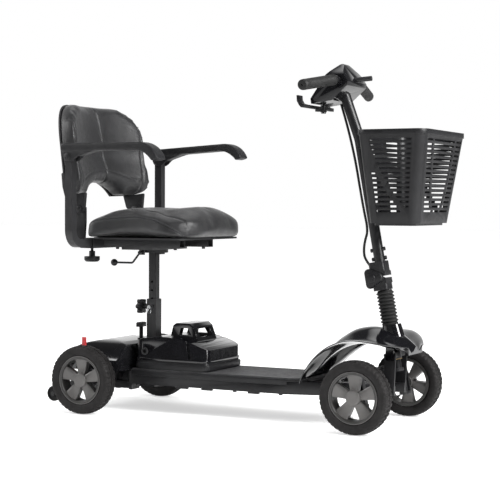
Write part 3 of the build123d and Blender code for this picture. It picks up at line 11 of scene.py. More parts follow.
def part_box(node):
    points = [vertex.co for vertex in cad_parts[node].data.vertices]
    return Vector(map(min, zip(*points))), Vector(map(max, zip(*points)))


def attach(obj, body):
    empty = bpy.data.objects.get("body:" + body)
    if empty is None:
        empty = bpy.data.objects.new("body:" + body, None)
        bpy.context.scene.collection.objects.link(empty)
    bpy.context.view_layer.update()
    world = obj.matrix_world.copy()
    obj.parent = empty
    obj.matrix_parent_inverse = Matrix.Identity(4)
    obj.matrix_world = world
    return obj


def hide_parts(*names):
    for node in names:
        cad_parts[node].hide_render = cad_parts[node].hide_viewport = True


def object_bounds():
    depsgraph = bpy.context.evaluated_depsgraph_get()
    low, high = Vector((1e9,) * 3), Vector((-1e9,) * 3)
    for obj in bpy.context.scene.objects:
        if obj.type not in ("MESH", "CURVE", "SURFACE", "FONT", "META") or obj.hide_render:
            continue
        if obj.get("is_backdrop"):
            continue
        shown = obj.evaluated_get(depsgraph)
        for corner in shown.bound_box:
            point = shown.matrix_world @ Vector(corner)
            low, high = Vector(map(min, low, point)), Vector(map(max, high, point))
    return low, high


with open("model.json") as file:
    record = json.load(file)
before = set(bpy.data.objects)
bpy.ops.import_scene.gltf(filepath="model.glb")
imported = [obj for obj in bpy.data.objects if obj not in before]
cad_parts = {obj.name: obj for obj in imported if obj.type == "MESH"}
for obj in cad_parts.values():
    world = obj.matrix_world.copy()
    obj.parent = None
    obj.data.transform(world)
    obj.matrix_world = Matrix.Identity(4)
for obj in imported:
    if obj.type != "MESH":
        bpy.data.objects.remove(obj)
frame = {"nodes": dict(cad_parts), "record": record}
nodes = frame["nodes"]
body_of = {n: b for b, ns in frame["record"]["behaviour"]["bodies"].items() for n in ns}
low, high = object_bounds()

# Places are read from the frame: x0 is the rear axle, from which the CAD source measures.
low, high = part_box("rear_left_tyre")
x0 = (low.x + high.x) / 2


def place(x, y, z):
    """A point given in millimetres from the rear axle, the middle and the ground."""
    return Vector((x0 + x / 1000, y / 1000, z / 1000))


# ---------------------------------------------------------------- materials
def shader_nodes(name):
    m = bpy.data.materials.new(name)
    m.use_nodes = True
    tree = m.node_tree
    tree.nodes.clear()
    out = tree.nodes.new("ShaderNodeOutputMaterial")
    shade = tree.nodes.new("ShaderNodeBsdfPrincipled")
    tree.links.new(shade.outputs[0], out.inputs[0])
    where = tree.nodes.new("ShaderNodeTexCoord")
    return m, tree, shade, where.outputs["Object"]


def noise_node(tree, where, scale, detail=4.0, rough=0.55):
    n = tree.nodes.new("ShaderNodeTexNoise")
    n.inputs["Scale"].default_value = scale
    n.inputs["Detail"].default_value = detail
    n.inputs["Roughness"].default_value = rough
    tree.links.new(where, n.inputs["Vector"])
    return n.outputs["Fac"]


def spread(tree, fac, low_value, high_value, a=0.35, b=0.65):
    n = tree.nodes.new("ShaderNodeMapRange")
    n.inputs["From Min"].default_value = a
    n.inputs["From Max"].default_value = b
    n.inputs["To Min"].default_value = low_value
    n.inputs["To Max"].default_value = high_value
    tree.links.new(fac, n.inputs["Value"])
    return n.outputs["Result"]


def two_tone(tree, fac, dark, light):
    n = tree.nodes.new("ShaderNodeMix")
    n.data_type = "RGBA"
    n.inputs["A"].default_value = (*dark, 1)
    n.inputs["B"].default_value = (*light, 1)
    tree.links.new(fac, n.inputs["Factor"])
    return n.outputs["Result"]


def bump(tree, height, strength, distance, before=None):
    n = tree.nodes.new("ShaderNodeBump")
    n.inputs["Strength"].default_value = strength
    n.inputs["Distance"].default_value = distance
    tree.links.new(height, n.inputs["Height"])
    if before is not None:
        tree.links.new(before, n.inputs["Normal"])
    return n.outputs["Normal"]


def surface(name, color, rough, metal=0.0, vary=0.12, patch=18.0, rough_vary=0.06, grain=1800.0,
            grain_depth=0.00006,
            grain_strength=0.35, coat=0.0, coat_rough=0.1, sheen=0.0, cells=0.0, wear=0.0, spec=0.5):
    """Painted, moulded, rubber or upholstered surface with patchy tone, fine grain and light edge wear."""
    m, tree, shade, where = shader_nodes(name)
    broad = noise_node(tree, where, patch)
    dark = [c * (1 - vary) for c in color]
    light = [min(1.0, c * (1 + vary)) for c in color]
    tone = two_tone(tree, spread(tree, broad, 0.0, 1.0), dark, light)
    if wear:
        geometry = tree.nodes.new("ShaderNodeNewGeometry")
        edge = spread(tree, geometry.outputs["Pointiness"], 0.0, wear, 0.53, 0.62)
        n = tree.nodes.new("ShaderNodeMix")
        n.data_type = "RGBA"
        tree.links.new(edge, n.inputs["Factor"])
        tree.links.new(tone, n.inputs["A"])
        n.inputs["B"].default_value = (*[min(1.0, c * 2.2 + 0.05) for c in color], 1)
        tone = n.outputs["Result"]
    tree.links.new(tone, shade.inputs["Base Color"])
    fine = noise_node(tree, where, grain, 3.0)
    tree.links.new(spread(tree, noise_node(tree, where, patch * 3.1), rough - rough_vary, rough + rough_vary),
                   shade.inputs["Roughness"])
    height = fine
    if cells:
        v = tree.nodes.new("ShaderNodeTexVoronoi")
        v.feature = "DISTANCE_TO_EDGE"
        v.inputs["Scale"].default_value = cells
        tree.links.new(where, v.inputs["Vector"])
        height = spread(tree, v.outputs["Distance"], 0.0, 1.0, 0.0, 0.12)
    normal = bump(tree, height, grain_strength, grain_depth)
    if cells:
        normal = bump(tree, fine, grain_strength * 0.6, grain_depth * 0.6, normal)
    tree.links.new(normal, shade.inputs["Normal"])
    shade.inputs["Metallic"].default_value = metal
    shade.inputs["Specular IOR Level"].default_value = spec
    shade.inputs["Coat Weight"].default_value = coat
    shade.inputs["Coat Roughness"].default_value = coat_rough
    shade.inputs["Sheen Weight"].default_value = sheen
    shade.inputs["Sheen Roughness"].default_value = 0.5
    return m


black_paint = surface("black_powder_coat", (0.009, 0.009, 0.010), 0.34, vary=0.18, grain=1500,
                      grain_depth=0.00008,
                      grain_strength=0.3, wear=0.25, spec=0.38)
gloss_black = surface("gloss_black_moulding", (0.004, 0.004, 0.005), 0.12, vary=0.15, rough_vary=0.03,
                      grain=420,
                      grain_depth=0.00003, grain_strength=0.12, coat=0.6, coat_rough=0.05, wear=0.12)
satin_black = surface("satin_black_moulding", (0.009, 0.009, 0.010), 0.38, vary=0.15, grain=2600,
                      grain_depth=0.00008, grain_strength=0.4, wear=0.18, spec=0.3)
matte_black = surface("grained_black_moulding", (0.013, 0.013, 0.014), 0.5, vary=0.16, grain=2200,
                      grain_depth=0.0001,
                      grain_strength=0.5, wear=0.2, spec=0.25)
wheel_grey = surface("silver_grey_moulding", (0.115, 0.111, 0.108), 0.36, metal=0.25, vary=0.1, grain=1600,
                     grain_depth=0.00006, grain_strength=0.3, wear=0.2)
barrel_black = surface("rim_barrel_black", (0.03, 0.029, 0.028), 0.35, vary=0.15, grain=1800)
tyre_rubber = surface("tyre_rubber", (0.014, 0.013, 0.013), 0.62, vary=0.22, patch=40, grain=1300,
                      grain_depth=0.00018, grain_strength=0.5, wear=0.3, spec=0.22)
soft_rubber = surface("soft_black_rubber", (0.013, 0.013, 0.013), 0.55, vary=0.15, grain=2400,
                      grain_depth=0.00008,
                      grain_strength=0.4, spec=0.28)
leather = surface("black_leathercloth", (0.014, 0.014, 0.015), 0.38, vary=0.2, patch=14, rough_vary=0.08,
                  cells=950,
                  grain=2600, grain_depth=0.00016, grain_strength=0.45, sheen=0.1, spec=0.5)
piping = surface("black_piping", (0.018, 0.018, 0.02), 0.5, vary=0.2, cells=1500, grain=3000,
                 grain_depth=0.0001,
                 grain_strength=0.5)
thread = surface("dark_thread", (0.012, 0.012, 0.013), 0.55, vary=0.2, grain=3000)
arm_skin = surface("moulded_arm_skin", (0.012, 0.012, 0.013), 0.45, vary=0.15, cells=1100, grain=2800,
                   grain_depth=0.00012, grain_strength=0.45, spec=0.3)
zinc = surface("zinc_plate", (0.56, 0.57, 0.58), 0.32, metal=1.0, vary=0.08, grain=900, grain_depth=0.00004,
               grain_strength=0.3)
cast_alloy = surface("dark_cast_alloy", (0.09, 0.09, 0.095), 0.5, metal=0.6, vary=0.18, grain=700,
                     grain_depth=0.0002, grain_strength=0.5)
mat_grey = surface("grooved_mat_rubber", (0.05, 0.05, 0.052), 0.6, vary=0.12, cells=700, grain=2000,
                   grain_depth=0.0002, grain_strength=0.5)
red_moulding = surface("red_moulding", (0.48, 0.025, 0.03), 0.3, vary=0.1, grain=1500, grain_strength=0.2,
                       coat=0.3)
blue_wrap = surface("cell_wrap", (0.02, 0.07, 0.16), 0.4, vary=0.1)
bronze = surface("bearing_bronze", (0.4, 0.3, 0.16), 0.42, metal=0.9, vary=0.1)
chrome_black = surface("black_zinc", (0.05, 0.05, 0.052), 0.3, metal=0.7, vary=0.12, grain=900,
                       grain_strength=0.3)

by_node = {
    "back_brackets": matte_black, "backrest_shell": matte_black, "basket": satin_black,
    "battery_case": satin_black,
    "battery_lid": gloss_black, "battery_pack": blue_wrap, "charging_port": matte_black,
    "chassis_bolts": chrome_black,
    "console_panel": satin_black, "console_shell": gloss_black, "deck_frame": black_paint,
    "deck_mat": mat_grey,
    "deck_pan": satin_black, "drive_motor": cast_alloy, "fold_knob": satin_black,
    "freewheel_lever": red_moulding,
    "front_axle_beam": black_paint, "front_cowl": gloss_black, "grips": soft_rubber, "head_bushes": bronze,
    "horn_button": gloss_black, "key": satin_black, "left_anti_tip_wheel": soft_rubber,
    "right_anti_tip_wheel": soft_rubber, "left_arm_post": black_paint, "right_arm_post": black_paint,
    "left_armrest": satin_black, "right_armrest": satin_black, "left_knuckle": black_paint,
    "right_knuckle": black_paint, "lock_pin": zinc, "rear_cover": gloss_black, "rear_frame": black_paint,
    "seat_bolts": chrome_black, "seat_pan": matte_black, "seat_post": black_paint,
    "seat_underframe": black_paint,
    "speed_dial": matte_black, "star_knob": satin_black, "steering_stem": black_paint,
    "stem_bellows": soft_rubber,
    "swivel_lever": black_paint, "t_handle": satin_black, "throttle_lever": satin_black,
    "tie_rods": chrome_black,
    "tiller_bolts": chrome_black, "tiller_tube": black_paint, "transaxle_housing": cast_alloy,
    "width_knob": satin_black,
}
for name, made in by_node.items():
    data = nodes[name].data
    data.materials.clear()
    data.materials.append(made)


# ---------------------------------------------------------------- mesh helpers
def new_mesh(name, vertices, faces, material, smooth=True):
    data = bpy.data.meshes.new(name)
    data.from_pydata([tuple(v) for v in vertices], [], faces)
    data.update()
    for p in data.polygons:
        p.use_smooth = smooth
    obj = bpy.data.objects.new(name, data)
    bpy.context.scene.collection.objects.link(obj)
    obj.data.materials.append(material)
    return obj


def settle(obj):
    """Applies an object's modifiers to its mesh."""
    bpy.context.view_layer.update()
    graph = bpy.context.evaluated_depsgraph_get()
    done = bpy.data.meshes.new_from_object(obj.evaluated_get(graph))
    obj.modifiers.clear()
    obj.data = done
    return obj


def shade_smooth(obj):
    for p in obj.data.polygons:
        p.use_smooth = True


def smooth_by_angle(obj, degrees):
    shade_smooth(obj)
    obj.data.set_sharp_from_angle(angle=math.radians(degrees))
    return obj


def node_copy(name, node):
    """A free copy of a CAD node's mesh, welded and with its flat faces made whole."""
    obj = bpy.data.objects.new(name, nodes[node].data.copy())
    bpy.context.scene.collection.objects.link(obj)
    bm = bmesh.new()
    bm.from_mesh(obj.data)
    bmesh.ops.remove_doubles(bm, verts=bm.verts, dist=1e-5)
    bmesh.ops.dissolve_limit(bm, angle_limit=math.radians(0.6), verts=bm.verts, edges=bm.edges)
    bm.to_mesh(obj.data)
    bm.free()
    return obj


def eased(node, width, segments=2, angle=34):
    """A CAD node with its moulded or machined edges broken, so that they catch the light."""
    obj = node_copy(node + ".eased", node)
    m = obj.modifiers.new("edges", "BEVEL")
    m.width = width
    m.segments = segments
    m.limit_method = "ANGLE"
    m.angle_limit = math.radians(angle)
    m.harden_normals = False
    m.use_clamp_overlap = True
    settle(obj)
    smooth_by_angle(obj, 36)
    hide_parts(node)
    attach(obj, body_of[node])
    return obj


def revolved(name, profile, segments, centre, axis, material, closed=True, wobble=None):
    """A profile of (along, radius) points turned about an axis.

    wobble(turn, k, along, radius) may move each point.
    """
    axis = Vector(axis).normalized()
    side = axis.orthogonal().normalized()
    if abs(axis.y) > 0.9:
        side = Vector((1, 0, 0))
    up = axis.cross(side)
    vertices, faces = [], []
    count = len(profile)
    for s in range(segments):
        turn = 2 * math.pi * s / segments
        out = side * math.cos(turn) + up * math.sin(turn)
        for k, (a, r) in enumerate(profile):
            if wobble is not None:
                a, r = wobble(turn, k, a, r)
            vertices.append(centre + axis * a + out * r)
    spans = count if closed else count - 1
    for s in range(segments):
        t = (s + 1) % segments
        for k in range(spans):
            n = (k + 1) % count
            faces.append((s * count + k, s * count + n, t * count + n, t * count + k))
    return new_mesh(name, vertices, faces, material)


def rounded(points, per=6):
    """Points of a smooth line through the given ones."""
    done = []
    for i in range(len(points) - 1):
        p0, p1, p2, p3 = points[max(i - 1, 0)], points[i], points[i + 1], points[min(i + 2, len(points) - 1)]
        for k in range(per):
            t = k / per
            done.append(tuple(
                0.5 * (2 * b + (c - a) * t + (2 * a - 5 * b + 4 * c - d) * t * t + (3 * b - a - 3 * c + d) * t ** 3)
                for a, b, c, d in zip(p0, p1, p2, p3)))
    done.append(tuple(points[-1]))
    return done


def tube(name, points, radius, material, order=3, resolution=10):
    """A round cord or tube along a smooth curve with these control points."""
    data = bpy.data.curves.new(name, "CURVE")
    data.dimensions = "3D"
    data.bevel_depth = radius
    data.bevel_resolution = 4
    data.use_fill_caps = True
    data.resolution_u = resolution
    line = data.splines.new("NURBS")
    line.points.add(len(points) - 1)
    for p, q in zip(line.points, points):
        p.co = (*q, 1)
    line.order_u = order
    line.use_endpoint_u = True
    obj = bpy.data.objects.new(name, data)
    bpy.context.scene.collection.objects.link(obj)
    data.materials.append(material)
    return obj


# ---------------------------------------------------------------- wheels
lug_count = 44
lug_gap = 0.28


def tread(turn, k, a, r):
    """Cuts lugs into the tread and shoulders, half a pitch apart from side to side."""
    lug = (turn * lug_count / (2 * math.pi) + (0.5 if a > 0 else 0.0)) % 1
    if r > 0.0965:
        if abs(a) > 0.0065 and lug < lug_gap:
            return a, r - 0.0022
        if 0.0028 < abs(a) < 0.0060:
            return a, r - 0.0020
    elif r > 0.0915 and lug < lug_gap:
        return a * 0.965, r - 0.0008
    return a, r


half_profile = [(-0.0160, 0.0655), (-0.0182, 0.0700), (-0.0206, 0.0722), (-0.0222, 0.0745), (-0.0231, 0.0752),
                (-0.0236, 0.0770), (-0.0247, 0.0820), (-0.0249, 0.0870), (-0.0243, 0.0915), (-0.0222, 0.0955),
                (-0.0188, 0.0975), (-0.0120, 0.0988), (-0.0062, 0.0994), (-0.0052, 0.0995), (-0.0036, 0.0997),
                (-0.0026, 0.0998), (0.0, 0.1000)]
tyre_profile = rounded(half_profile, 3)
tyre_profile += [(-a, r) for a, r in tyre_profile[-2::-1]]


def make_tyre(word):
    node = word + "_tyre"
    low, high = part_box(node)
    obj = revolved(word + ".tyre", tyre_profile, 352, (low + high) / 2, (0, 1, 0), tyre_rubber, wobble=tread)
    smooth_by_angle(obj, 40)
    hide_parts(node)
    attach(obj, body_of[node])


def make_rim(word):
    node = word + "_rim"
    low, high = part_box(word + "_tyre")
    centre = (low + high) / 2
    side = 1 if centre.y > 0 else -1
    out = Vector((0, side, 0))
    fwd = Vector((1, 0, 0))
    up = out.cross(fwd)
    body = body_of[node]
    ring = rounded([(-0.0209, 0.0612), (-0.0209, 0.0690), (-0.0204, 0.0699), (-0.0194, 0.0699), (-0.0172,
                                                                                                 0.0660),
                    (-0.0150, 0.0652), (0.0, 0.0650), (0.0150, 0.0652), (0.0172, 0.0660), (0.0194, 0.0699),
                    (0.0204, 0.0699), (0.0209, 0.0690), (0.0207, 0.0640), (0.0190, 0.0618), (0.0150, 0.0610),
                    (0.0, 0.0608), (-0.0160, 0.0609)], 3)
    barrel = revolved(word + ".barrel", ring, 160, centre, out, barrel_black)
    edge = rounded([(0.0192, 0.0672), (0.0206, 0.0678), (0.0211, 0.0692), (0.0206, 0.0700), (0.0192,
                                                                                             0.0700)], 4)
    lip = revolved(word + ".rim_lip", edge, 160, centre, out, wheel_grey)
    for o in (barrel, lip):
        smooth_by_angle(o, 50)
        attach(o, body)
    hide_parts(node)
    vertices, faces = [], []
    rows, columns = 18, 22
    for spoke in range(5):
        turn = math.radians(90 + 72 * spoke)
        radial = fwd * math.cos(turn) + up * math.sin(turn)
        across = out.cross(radial)
        base = len(vertices)
        for i in range(rows):
            u = i / (rows - 1)
            r = 0.0150 + (0.0612 - 0.0150) * u
            half = 0.0098 + 0.0108 * u ** 0.9 + 0.0022 * max(0.0, u - 0.86) / 0.14
            face_at = 0.0150 - 0.0035 * math.sin(math.pi * u) + 0.0012 * u
            for j in range(columns):
                v = j / columns
                if v < 0.5:
                    t = v / 0.5
                    w = -math.cos(math.pi * t)
                    y = half * math.copysign(abs(w) ** 0.75, w)
                    depth = face_at + 0.0026 * (1 - abs(w) ** 3.2) - 0.0026
                else:
                    t = (v - 0.5) / 0.5
                    w = math.cos(math.pi * t)
                    y = half * 0.93 * math.copysign(abs(w) ** 0.75, w)
                    depth = -0.0085 - 0.002 * (1 - abs(w) ** 3)
                vertices.append(centre + radial * r + across * y + out * depth)
        for i in range(rows - 1):
            for j in range(columns):
                n = (j + 1) % columns
                faces.append((base + i * columns + j, base + i * columns + n,
                              base + (i + 1) * columns + n, base + (i + 1) * columns + j))
        faces.append(tuple(base + j for j in range(columns))[::-1])
        faces.append(tuple(base + (rows - 1) * columns + j for j in range(columns)))
    spokes = new_mesh(word + ".spokes", vertices, faces, wheel_grey)
    smooth_by_angle(spokes, 48)
    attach(spokes, body)
    cap = rounded([(-0.0185, 0.0001), (-0.0185, 0.0150), (-0.0180, 0.0168), (0.0090, 0.0172), (0.0120,
                                                                                               0.0203),
                   (0.0185, 0.0203), (0.0208, 0.0192), (0.0219, 0.0150), (0.0221, 0.0080), (0.0221, 0.0001)],
                   5)
    hub = revolved(word + ".hub", cap, 96, centre, out, wheel_grey, closed=False)
    smooth_by_angle(hub, 40)
    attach(hub, body)
    valve_at = centre + (fwd * math.cos(2.2) + up * math.sin(2.2)) * 0.056 + out * 0.004
    valve = revolved(word + ".valve", [(0, 0.0001), (0, 0.003), (0.009, 0.003), (0.0095, 0.0022), (0.014,
                                                                                                   0.0022),
                                       (0.014, 0.0001)], 24, valve_at, out, soft_rubber, closed=False)
    smooth_by_angle(valve, 40)
    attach(valve, body)


for word in ("rear_left", "rear_right", "front_left", "front_right"):
    make_tyre(word)
    make_rim(word)


# ---------------------------------------------------------------- stuffed pieces
def points_of(obj):
    co = np.zeros(len(obj.data.vertices) * 3)
    obj.data.vertices.foreach_get("co", co)
    return co.reshape(-1, 3)


def normals_of(obj):
    normals = np.zeros(len(obj.data.vertices) * 3)
    obj.data.vertices.foreach_get("normal", normals)
    return normals.reshape(-1, 3)


def set_points(obj, points):
    obj.data.vertices.foreach_set("co", points.ravel())
    obj.data.update()


def bump_at(values, centre, reach):
    """1 at the centre, falling smoothly to 0 at the reach."""
    t = np.clip(np.abs(values - centre) / reach, 0, 1)
    return 0.5 + 0.5 * np.cos(math.pi * t)


def soften(obj, iterations):
    """Adds a smoothing modifier, which the next settle() applies."""
    s = obj.modifiers.new("soften", "SMOOTH")
    s.factor = 0.5
    s.iterations = iterations


def voxels(obj, size, smoothing):
    m = obj.modifiers.new("voxels", "REMESH")
    m.mode = "VOXEL"
    m.voxel_size = size
    soften(obj, smoothing)
    return settle(obj)


def inflate(obj, held, cap, pressure=3.0):
    """Swells a stuffed piece as cloth under pressure.

    The held points stay, and none moves further than the cap.
    """
    start = points_of(obj)
    group = obj.vertex_groups.new(name="held")
    group.add([int(i) for i in np.nonzero(held)[0]], 1.0, "ADD")
    cloth = obj.modifiers.new("cloth", "CLOTH")
    cloth.settings.quality = 5
    cloth.settings.mass = 0.3
    cloth.settings.tension_stiffness = 15
    cloth.settings.compression_stiffness = 15
    cloth.settings.shear_stiffness = 5
    cloth.settings.bending_stiffness = 0.5
    cloth.settings.use_pressure = True
    cloth.settings.uniform_pressure_force = pressure
    cloth.settings.effector_weights.gravity = 0
    cloth.settings.vertex_group_mass = "held"
    cloth.point_cache.frame_start = 1
    cloth.point_cache.frame_end = 20
    for step in range(1, 21):
        bpy.context.scene.frame_set(step)
    graph = bpy.context.evaluated_depsgraph_get()
    done = obj.evaluated_get(graph)
    moved = np.zeros(len(done.data.vertices) * 3)
    done.data.vertices.foreach_get("co", moved)
    step = moved.reshape(-1, 3) - start
    far = np.linalg.norm(step, axis=1)
    step *= (np.minimum(far, cap) / np.maximum(far, 1e-9))[:, None]
    obj.modifiers.clear()
    bpy.context.scene.frame_set(1)
    set_points(obj, start + step)
    soften(obj, 12)
    d = obj.modifiers.new("finer", "SUBSURF")
    d.levels = d.render_levels = 1
    settle(obj)
    shade_smooth(obj)
    return obj


def surface_hits(obj, starts, aims):
    """Where rays from the starts along the aims meet the piece, with the normals there."""
    bm = bmesh.new()
    bm.from_mesh(obj.data)
    tree = BVHTree.FromBMesh(bm)
    found = []
    for a, b in zip(starts, aims):
        hit = tree.ray_cast(Vector(a), Vector(b).normalized())
        if hit[0] is not None:
            found.append((hit[0].copy(), hit[1].copy()))
    bm.free()
    return found


def even_line(line, pitch):
    """Points and normals along a line of (point, normal) pairs, at an even pitch."""
    done, carry = [], 0.0
    for (p, n), (q, k) in zip(line, line[1:]):
        gap = (q - p).length
        while carry < gap:
            t = carry / gap
            done.append((p.lerp(q, t), n.lerp(k, t).normalized()))
            carry += pitch
        carry -= gap
    return done


def groove(obj, line, width, depth):
    """Presses a line into a piece."""
    points = points_of(obj)
    normals = normals_of(obj)
    path = np.array([p for p, _ in even_line(line, width * 0.4)])
    nearest = np.full(len(points), 1.0)
    for k in range(0, len(path), 64):
        gap = np.linalg.norm(points[:, None, :] - path[None, k:k + 64, :], axis=2).min(axis=1)
        nearest = np.minimum(nearest, gap)
    set_points(obj, points - normals * (depth * np.exp(-(nearest / width) ** 2))[:, None])


stitch_aside, stitch_pitch, stitch_length, stitch_thick = 0.0062, 0.0085, 0.006, 0.0013
piping_radius = 0.0022


def stitches(name, lines, offset):
    """Short raised stitches along lines, set to one side of each by the offset."""
    pitch, length, thick = stitch_pitch, stitch_length, stitch_thick
    vertices, faces = [], []
    ring = 6
    for line in lines:
        marks = even_line(line, pitch)
        for (p, n), (q, _) in zip(marks, marks[1:]):
            along = (q - p).normalized()
            side = along.cross(n).normalized()
            centre = p + side * offset + n * thick * 0.1
            base = len(vertices)
            for a, r in ((-0.5, 0.35), (-0.3, 1.0), (0.3, 1.0), (0.5, 0.35)):
                for k in range(ring):
                    turn = 2 * math.pi * k / ring
                    vertices.append(centre + along * a * length + (side * math.cos(turn) + n * math.sin(turn))
                                    * r * thick / 2)
            for a in range(3):
                for k in range(ring):
                    t = (k + 1) % ring
                    faces.append((base + a * ring + k, base + a * ring + t,
                                  base + (a + 1) * ring + t, base + (a + 1) * ring + k))
            faces.append(tuple(base + k for k in range(ring))[::-1])
            faces.append(tuple(base + 3 * ring + k for k in range(ring)))
    return new_mesh(name, vertices, faces, thread)


def welt(name, line):
    """A piping cord along a line of (point, normal) pairs."""
    radius = piping_radius
    marks = even_line(line, 0.004)
    ring = 8
    vertices, faces = [], []
    for i, (p, n) in enumerate(marks):
        q = marks[min(i + 1, len(marks) - 1)][0] - marks[max(i - 1, 0)][0]
        along = q.normalized()
        side = along.cross(n).normalized()
        up = side.cross(along)
        for k in range(ring):
            turn = 2 * math.pi * k / ring
            vertices.append(p + n * radius * 0.25 + (side * math.cos(turn) + up * math.sin(turn)) * radius)
    for i in range(len(marks) - 1):
        for k in range(ring):
            t = (k + 1) % ring
            faces.append((i * ring + k, i * ring + t, (i + 1) * ring + t, (i + 1) * ring + k))
    faces.append(tuple(range(ring))[::-1])
    faces.append(tuple(len(vertices) - ring + k for k in range(ring)))
    return new_mesh(name, vertices, faces, piping)


def crumple(obj, amount, size, stretch=(1, 1, 1)):
    """Slight hand-made unevenness and creasing of a covered piece."""
    points = points_of(obj)
    normals = normals_of(obj)
    scaled = points / size * np.array(stretch)
    push = np.array([noise.noise(Vector(p)) + 0.5 * noise.noise(Vector(p * 2.3)) for p in scaled])
    set_points(obj, points + normals * (push * amount)[:, None])


def seam(obj, starts, aims, width=0.004, depth=0.003):
    """Presses a seam where rays meet the piece, and gives the line along its bottom."""
    line = surface_hits(obj, starts, aims)
    groove(obj, line, width, depth)
    return surface_hits(obj, [q + n * 0.03 for q, n in line], [-n for _, n in line])


def seat_seams(obj, low, high):
    """Starts and aims of the boxing seam and the panel seam on both sides of the seat."""
    length = high.x - low.x
    boxing, panel = [], []
    for side in (1, -1):
        starts, aims = [], []
        for k in range(90):
            x = k / 89
            drop = float(np.interp(x, edge_x, edge_drop))
            aim = Vector((-0.9 * x ** 6, -side * (1.1 - 0.6 * x ** 4), -0.75)).normalized()
            at = Vector((low.x + 0.012 + (length - 0.030) * x, side * (high.y - 0.004 - 0.030 * x ** 8),
                         high.z - drop - 0.002))
            starts.append(at - aim * 0.12)
            aims.append(aim)
        boxing.append((starts, aims))
        starts, aims = [], []
        y = side * high.y * 0.76
        for k in range(60):
            starts.append((low.x + length * (0.40 + 0.48 * k / 59), y, high.z + 0.1))
            aims.append((0, 0, -1))
        for k in range(1, 40):
            turn = math.pi * 0.52 * k / 39
            centre = Vector((low.x + length * 0.88, y, high.z - 0.040))
            aim = Vector((-math.sin(turn), 0, -math.cos(turn)))
            starts.append(centre - aim * 0.14)
            aims.append(aim)
        panel.append((starts, aims))
    return boxing, panel


edge_x = (0.0, 0.05, 0.2, 0.5, 0.68, 0.82, 0.92, 1.0)
edge_drop = (0.036, 0.027, 0.016, 0.008, 0.018, 0.036, 0.050, 0.058)
crown_x = (0.0, 0.05, 0.15, 0.4, 0.62, 0.84, 0.92, 0.97, 1.0)
crown_drop = (0.022, 0.008, 0.001, 0.001, 0.006, -0.007, -0.002, 0.012, 0.030)


def make_seat_cushion():
    low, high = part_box("seat_cushion")
    obj = node_copy("seat.cushion", "seat_cushion")
    obj.data.materials.clear()
    obj.data.materials.append(leather)
    voxels(obj, 0.006, 6)
    p = points_of(obj)
    length, height = high.x - low.x, high.z - low.z
    x = np.clip((p[:, 0] - low.x) / length, 0, 1)
    y = np.clip(p[:, 1] / high.y, -1, 1)
    up = np.clip((p[:, 2] - low.z) / height, 0, 1)
    across = np.abs(y) ** 2.4
    drop = np.interp(x, crown_x, crown_drop) * (1 - across) + np.interp(x, edge_x, edge_drop) * across
    rim = np.clip((np.abs(y) - 0.70) / 0.30, 0, 1) ** 0.8
    lift = 0.024 * np.sin(math.pi * np.clip((x - 0.04) / 0.88, 0, 1)) ** 0.9 * rim
    lift += 0.006 * np.clip((x - 0.9) / 0.1, 0, 1)
    p[:, 2] = low.z + lift + up * (height - drop - lift)
    p[:, 0] -= 0.008 * (2 * x - 1)
    p[:, 1] -= 0.006 * y + 0.004 * y * np.sin(math.pi * x)
    set_points(obj, p)
    soften(obj, 10)
    settle(obj)
    p = points_of(obj)
    inflate(obj, p[:, 2] < low.z + 0.004, 0.006)
    boxing, panel = seat_seams(obj, low, high)
    edges = [seam(obj, starts, aims, 0.0045, 0.0022) for starts, aims in boxing]
    panels = [seam(obj, starts, aims, 0.004, 0.0020) for starts, aims in panel]
    crumple(obj, 0.0006, 0.070, (1.0, 0.6, 1.2))
    pieces = [obj, welt("seat.piping", edges[0]), welt("seat.piping.right", edges[1]),
              stitches("seat.stitches", edges + panels, stitch_aside),
              stitches("seat.stitches.inner", panels, -stitch_aside)]
    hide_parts("seat_cushion")
    for o in pieces:
        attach(o, "seat")


def make_backrest_cushion():
    low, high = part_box("backrest_cushion")
    obj = node_copy("backrest.cushion", "backrest_cushion")
    obj.data.materials.clear()
    obj.data.materials.append(leather)
    voxels(obj, 0.005, 14)
    p = points_of(obj)
    normals = normals_of(obj)
    height = high.z - low.z
    z = (p[:, 2] - low.z) / height
    y = p[:, 1] / high.y
    front = np.clip(normals[:, 0], 0, 1)
    p[:, 0] += front * (0.010 * bump_at(z, 0.20, 0.18) - 0.006 * bump_at(z, 0.46, 0.16)) * (1 - 0.4 * y * y)
    arch = bump_at(p[:, 1], 0.0, 0.15) * np.clip(1 - np.abs(z - 0.12) / 0.22, 0, 1)
    p[:, 2] -= 0.012 * arch * np.clip(-normals[:, 2], 0, 1)
    set_points(obj, p)
    inflate(obj, normals[:, 0] < -0.7, 0.006)
    lines = []
    for across, lean in ((0.168, 0.020), (0.012, -0.020), (-0.168, -0.020)):
        starts, aims = [], []
        side = 1 if across > 0 else -1
        for k in range(110):
            t = k / 109
            starts.append((high.x + 0.3, across + lean * (t - 0.4) + 0.010 * math.sin(math.pi * t) * side,
                           low.z + 0.006 + (height - 0.008) * t))
            aims.append((-1, 0, 0))
        lines.append(seam(obj, starts, aims, 0.0045, 0.0026))
    starts, aims = [], []
    for k in range(120):
        t = 1.5 * k / 119 - 0.75
        starts.append((high.x + 0.3, t * high.y * 0.97, low.z + 0.046 + 0.034 * max(0.0,
                                                                                    math.cos(t * math.pi * 0.62))))
        aims.append((-1, 0, 0))
    lines.append(seam(obj, starts, aims, 0.004, 0.0018))
    crumple(obj, 0.0006, 0.080)
    pieces = [obj, stitches("backrest.stitches", lines, stitch_aside),
              stitches("backrest.stitches.inner", lines, -stitch_aside)]
    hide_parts("backrest_cushion")
    for o in pieces:
        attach(o, "backrest")


